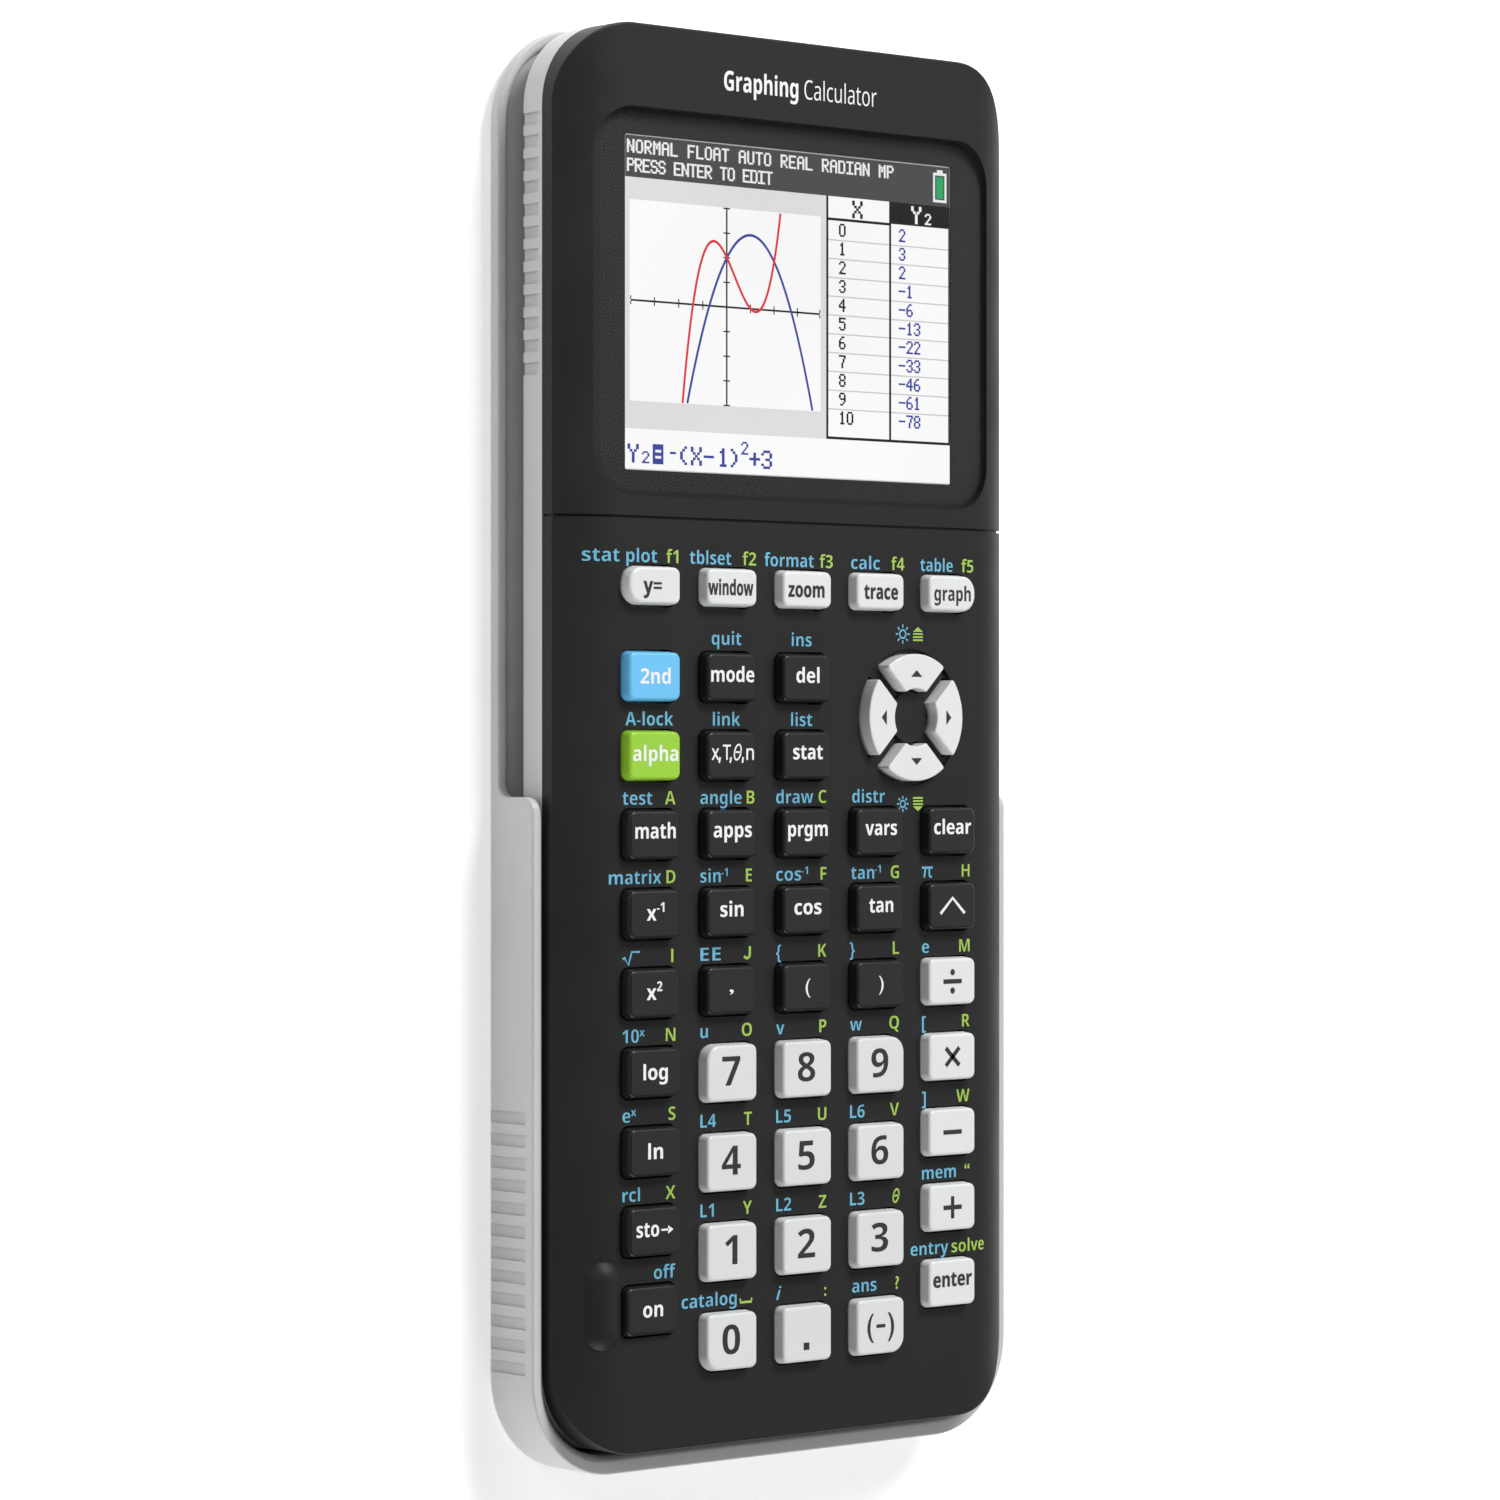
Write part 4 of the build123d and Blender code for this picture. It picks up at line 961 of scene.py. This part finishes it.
def draw_table():
    lines = Dots(2)
    lines.area(TABLE_LEFT, TABLE_TOP, TABLE_LEFT + 2, TABLE_BOTTOM + 2)
    lines.area(TABLE_MIDDLE, HEADER_BOTTOM, TABLE_MIDDLE + 2, TABLE_BOTTOM)
    lines.area(TABLE_RIGHT, HEADER_BOTTOM, DOTS_WIDE, TABLE_BOTTOM)
    lines.area(TABLE_LEFT + 2, TABLE_BOTTOM, DOTS_WIDE, TABLE_BOTTOM + 2)
    lines.area(TABLE_LEFT + 2, HEADER_BOTTOM - 0.5, TABLE_MIDDLE, HEADER_BOTTOM + 1.5)
    lines.area(TABLE_MIDDLE, TABLE_TOP, DOTS_WIDE, HEADER_BOTTOM)
    lines.piece("display_table_lines", LIT_BLACK, "calculator")

    rules = Dots(1)
    for row in range(ROW_COUNT - 1):
        y = HEADER_BOTTOM + 2 + ROW_TALL * (row + 1)
        rules.area(TABLE_LEFT + 2, y - 0.5, TABLE_MIDDLE, y + 0.5)
        rules.area(TABLE_MIDDLE + 2, y - 0.5, TABLE_RIGHT, y + 0.5)
    rules.piece("display_table_rules", lit_dots("lit_rule_grey", (0.62, 0.62, 0.63)), "calculator")

    inputs = Dots(2)
    outputs = Dots(2)
    for row in range(ROW_COUNT):
        top = HEADER_BOTTOM + 2.7 + ROW_TALL * row + (ROW_TALL - LETTER_TALL) / 2 - 1.5
        inputs.line(str(row), 206.6, top, 7.7, dot_wide=1.25)
        outputs.line(str(round(parabola(row))), 267.3, top, 7.7, dot_wide=1.25)
    inputs.line("X", 220, 31.7, 10, dot_wide=2, dot_tall=1.9)
    inputs.piece("display_inputs", LIT_BLACK, "calculator")
    outputs.piece("display_outputs", LIT_BLUE, "calculator")

    header = Dots(3)
    header.line("Y", 280, 31.7, 10, dot_wide=2, dot_tall=1.9)
    header.line("2", 294, 36.5, 7, dot_wide=1.2, dot_tall=1.2)
    header.piece("display_header", LIT_WHITE, "calculator")


def draw_prompt():
    """The function being traced, in large letters, with its equals sign picked out."""
    blue = Dots(2)
    top = 222.0
    for sign, left in (("Y", 2), ("X", 61.7), ("1", 87.5), ("+", 118), ("3", 129.7)):
        blue.line(sign, left, top, 10, dot_wide=2, dot_tall=1.95)
    blue.line("(", 49.5, top, 10, dot_wide=2, dot_tall=1.95)
    blue.line(")", 98, top, 10, dot_wide=2, dot_tall=1.95)
    blue.line("2", 15.2, top + 5, 7, dot_wide=1.35, dot_tall=1.25)
    blue.line("2", 110, top - 5.5, 7, dot_wide=1.3, dot_tall=1.35)
    blue.area(41.7, top + 4.5, 47.6, top + 6.2)
    blue.area(74, top + 5.9, 83.8, top + 7.8)
    blue.area(25.6, top - 0.5, 35.7, top + 14)
    blue.piece("display_prompt", LIT_BLUE, "calculator")
    equals = Dots(3)
    equals.area(28, top + 3.6, 33.5, top + 5.5)
    equals.area(28, top + 8, 33.5, top + 9.9)
    equals.piece("display_equals", LIT_WHITE, "calculator")


BORDER_LOW = 0.02
BORDER_HIGH = 0.03
BORDER_INSET = 0.1
BORDER_CORNER = 5.75
BORDER_SPARE = 0.3


def make_window_border():
    """Black print just inside the back of the window, round the lit part of the display."""
    border = Print(WINDOW_LOW.z + BORDER_LOW, WINDOW_LOW.z + BORDER_HIGH)
    wide, tall = WINDOW_HIGH.x - WINDOW_LOW.x, WINDOW_HIGH.y - WINDOW_LOW.y
    x, y = WINDOW_MIDDLE.x, WINDOW_MIDDLE.y
    border.loop(
        rounded(x, y, wide - BORDER_INSET, tall - BORDER_INSET, BORDER_CORNER),
        rounded(x, y, DOTS_WIDE * DOT + BORDER_SPARE, DOTS_TALL * DOT + BORDER_SPARE, 0.3),
    )
    material = moulded_plastic("window_border_black", (0.016, 0.016, 0.016), 0.5, gloss=0.2)
    border.piece("window_border", material, "calculator")


# ---------------------------------------------------------------------------
# Keypad mat under the keys
# ---------------------------------------------------------------------------

SHEET_THICK = 0.6
DOME_GAP = 0.05


def lathe(profile, x, y, count=28):
    """Closed mesh of a profile of (radius, height) turned round an upright line, ends on the line."""
    shape = bmesh.new()
    rings = []
    for radius, z in profile:
        if radius == 0:
            rings.append([shape.verts.new((x * MM, y * MM, z * MM))])
            continue
        rings.append([shape.verts.new((px * MM, py * MM, z * MM)) for px, py in circle(x, y, radius, count)])
    for a, b in zip(rings, rings[1:]):
        for i in range(count):
            j = (i + 1) % count
            corners = [a[i % len(a)], a[j % len(a)], b[j % len(b)], b[i % len(b)]]
            shape.faces.new(list(dict.fromkeys(corners)))
    bmesh.ops.recalc_face_normals(shape, faces=shape.faces)
    mesh = bpy.data.meshes.new("dome")
    shape.to_mesh(mesh)
    shape.free()
    for face in mesh.polygons:
        face.use_smooth = True
    return mesh


def make_keypad_mat():
    """The silicone sheet, and under each key a rubber dome."""
    low, high = node_box("keypad_mat")
    sheet = Print(low.z, low.z + SHEET_THICK)
    sheet.prism(rounded((low.x + high.x) / 2, (low.y + high.y) / 2, high.x - low.x, high.y - low.y, 3))
    made = sheet.piece("mat_sheet", rubber, "calculator")
    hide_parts("keypad_mat")

    foot = low.z + SHEET_THICK
    for joint in frame["joints"]:
        key = joint["name"].removesuffix("_press")
        if key not in frame["nodes"]:
            continue
        middle = node_centre(key)
        top = node_box(key)[0].z - DOME_GAP
        tall = top - foot
        profile = [
            (0, foot), (1.9, foot), (1.88, foot + 0.12 * tall), (1.55, foot + 0.35 * tall),
            (1.3, foot + 0.62 * tall), (1.25, foot + 0.94 * tall), (1.17, top), (0, top),
        ]
        mesh = lathe(profile, middle.x, middle.y)
        mesh.name = "dome_" + key
        dome = place_piece("dome_" + key, mesh, rubber, "calculator")
        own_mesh(dome)


# ---------------------------------------------------------------------------
# Floor, light and camera
# ---------------------------------------------------------------------------

FLOOR_REACH = 3.0


def make_floor():
    """A plain white surface under the calculator."""
    mesh = bpy.data.meshes.new("floor")
    corners = [(x * FLOOR_REACH, y * FLOOR_REACH, 0) for x, y in ((-1, -1), (1, -1), (1, 1), (-1, 1))]
    mesh.from_pydata(corners, [], [(0, 1, 2, 3)])
    material, shader = new_material("floor_white", (0.93, 0.93, 0.93), 0.7)
    shader.inputs["Specular IOR Level"].default_value = 0.1
    shader.inputs["Emission Color"].default_value = (1, 1, 1, 1)
    shader.inputs["Emission Strength"].default_value = 0.35
    mesh.materials.append(material)
    floor = bpy.data.objects.new("floor", mesh)
    bpy.context.collection.objects.link(floor)


def add_light(name, place, target, size, power):
    lamp = bpy.data.lights.new(name, "AREA")
    lamp.shape = "RECTANGLE"
    lamp.size, lamp.size_y = size
    lamp.energy = power
    holder = bpy.data.objects.new(name, lamp)
    holder.location = place
    holder.rotation_euler = (Vector(target) - Vector(place)).to_track_quat("-Z", "Y").to_euler()
    bpy.context.collection.objects.link(holder)


def light_scene():
    world = bpy.data.worlds.new("studio")
    world.use_nodes = True
    background = world.node_tree.nodes["Background"]
    background.inputs["Color"].default_value = (1, 1, 1, 1)
    background.inputs["Strength"].default_value = 0.2
    bpy.context.scene.world = world
    bpy.context.scene.view_settings.view_transform = "Standard"
    add_light("key_light", (0.45, 1.1, 1.0), (0, 0.02, 0), (0.7, 0.5), 26)
    add_light("sky_panel", (1.1, 0.2, 1.15), (0, 0, 0), (1.4, 1.2), 4)
    add_light("left_fill", (-0.9, 0.5, 0.8), (0, 0, 0), (0.25, 0.25), 1.6)
    add_light("end_fill", (-0.1, -1.2, 0.35), (0, 0, 0), (1.0, 0.4), 9)


CAMERA_LENS = 120.674
CAMERA_PLACE = (-0.4436, 0.0, 0.5140)
CAMERA_TILT = 41.028


def make_camera():
    """Above the calculator's left side, looking down across it."""
    data = bpy.data.cameras.new("camera")
    data.sensor_width = 36
    data.lens = CAMERA_LENS
    data.clip_start = 0.01
    camera = bpy.data.objects.new("camera", data)
    camera.location = CAMERA_PLACE
    camera.rotation_euler = (0, -math.radians(CAMERA_TILT), 0)
    bpy.context.collection.objects.link(camera)
    bpy.context.scene.camera = camera


print_face_legends()
print_title()
print_key_labels()
print_digits()
print_signs()
print_arrows()
draw_display()
make_window_border()
make_keypad_mat()
make_floor()
light_scene()
make_camera()

bpy.context.view_layer.update()
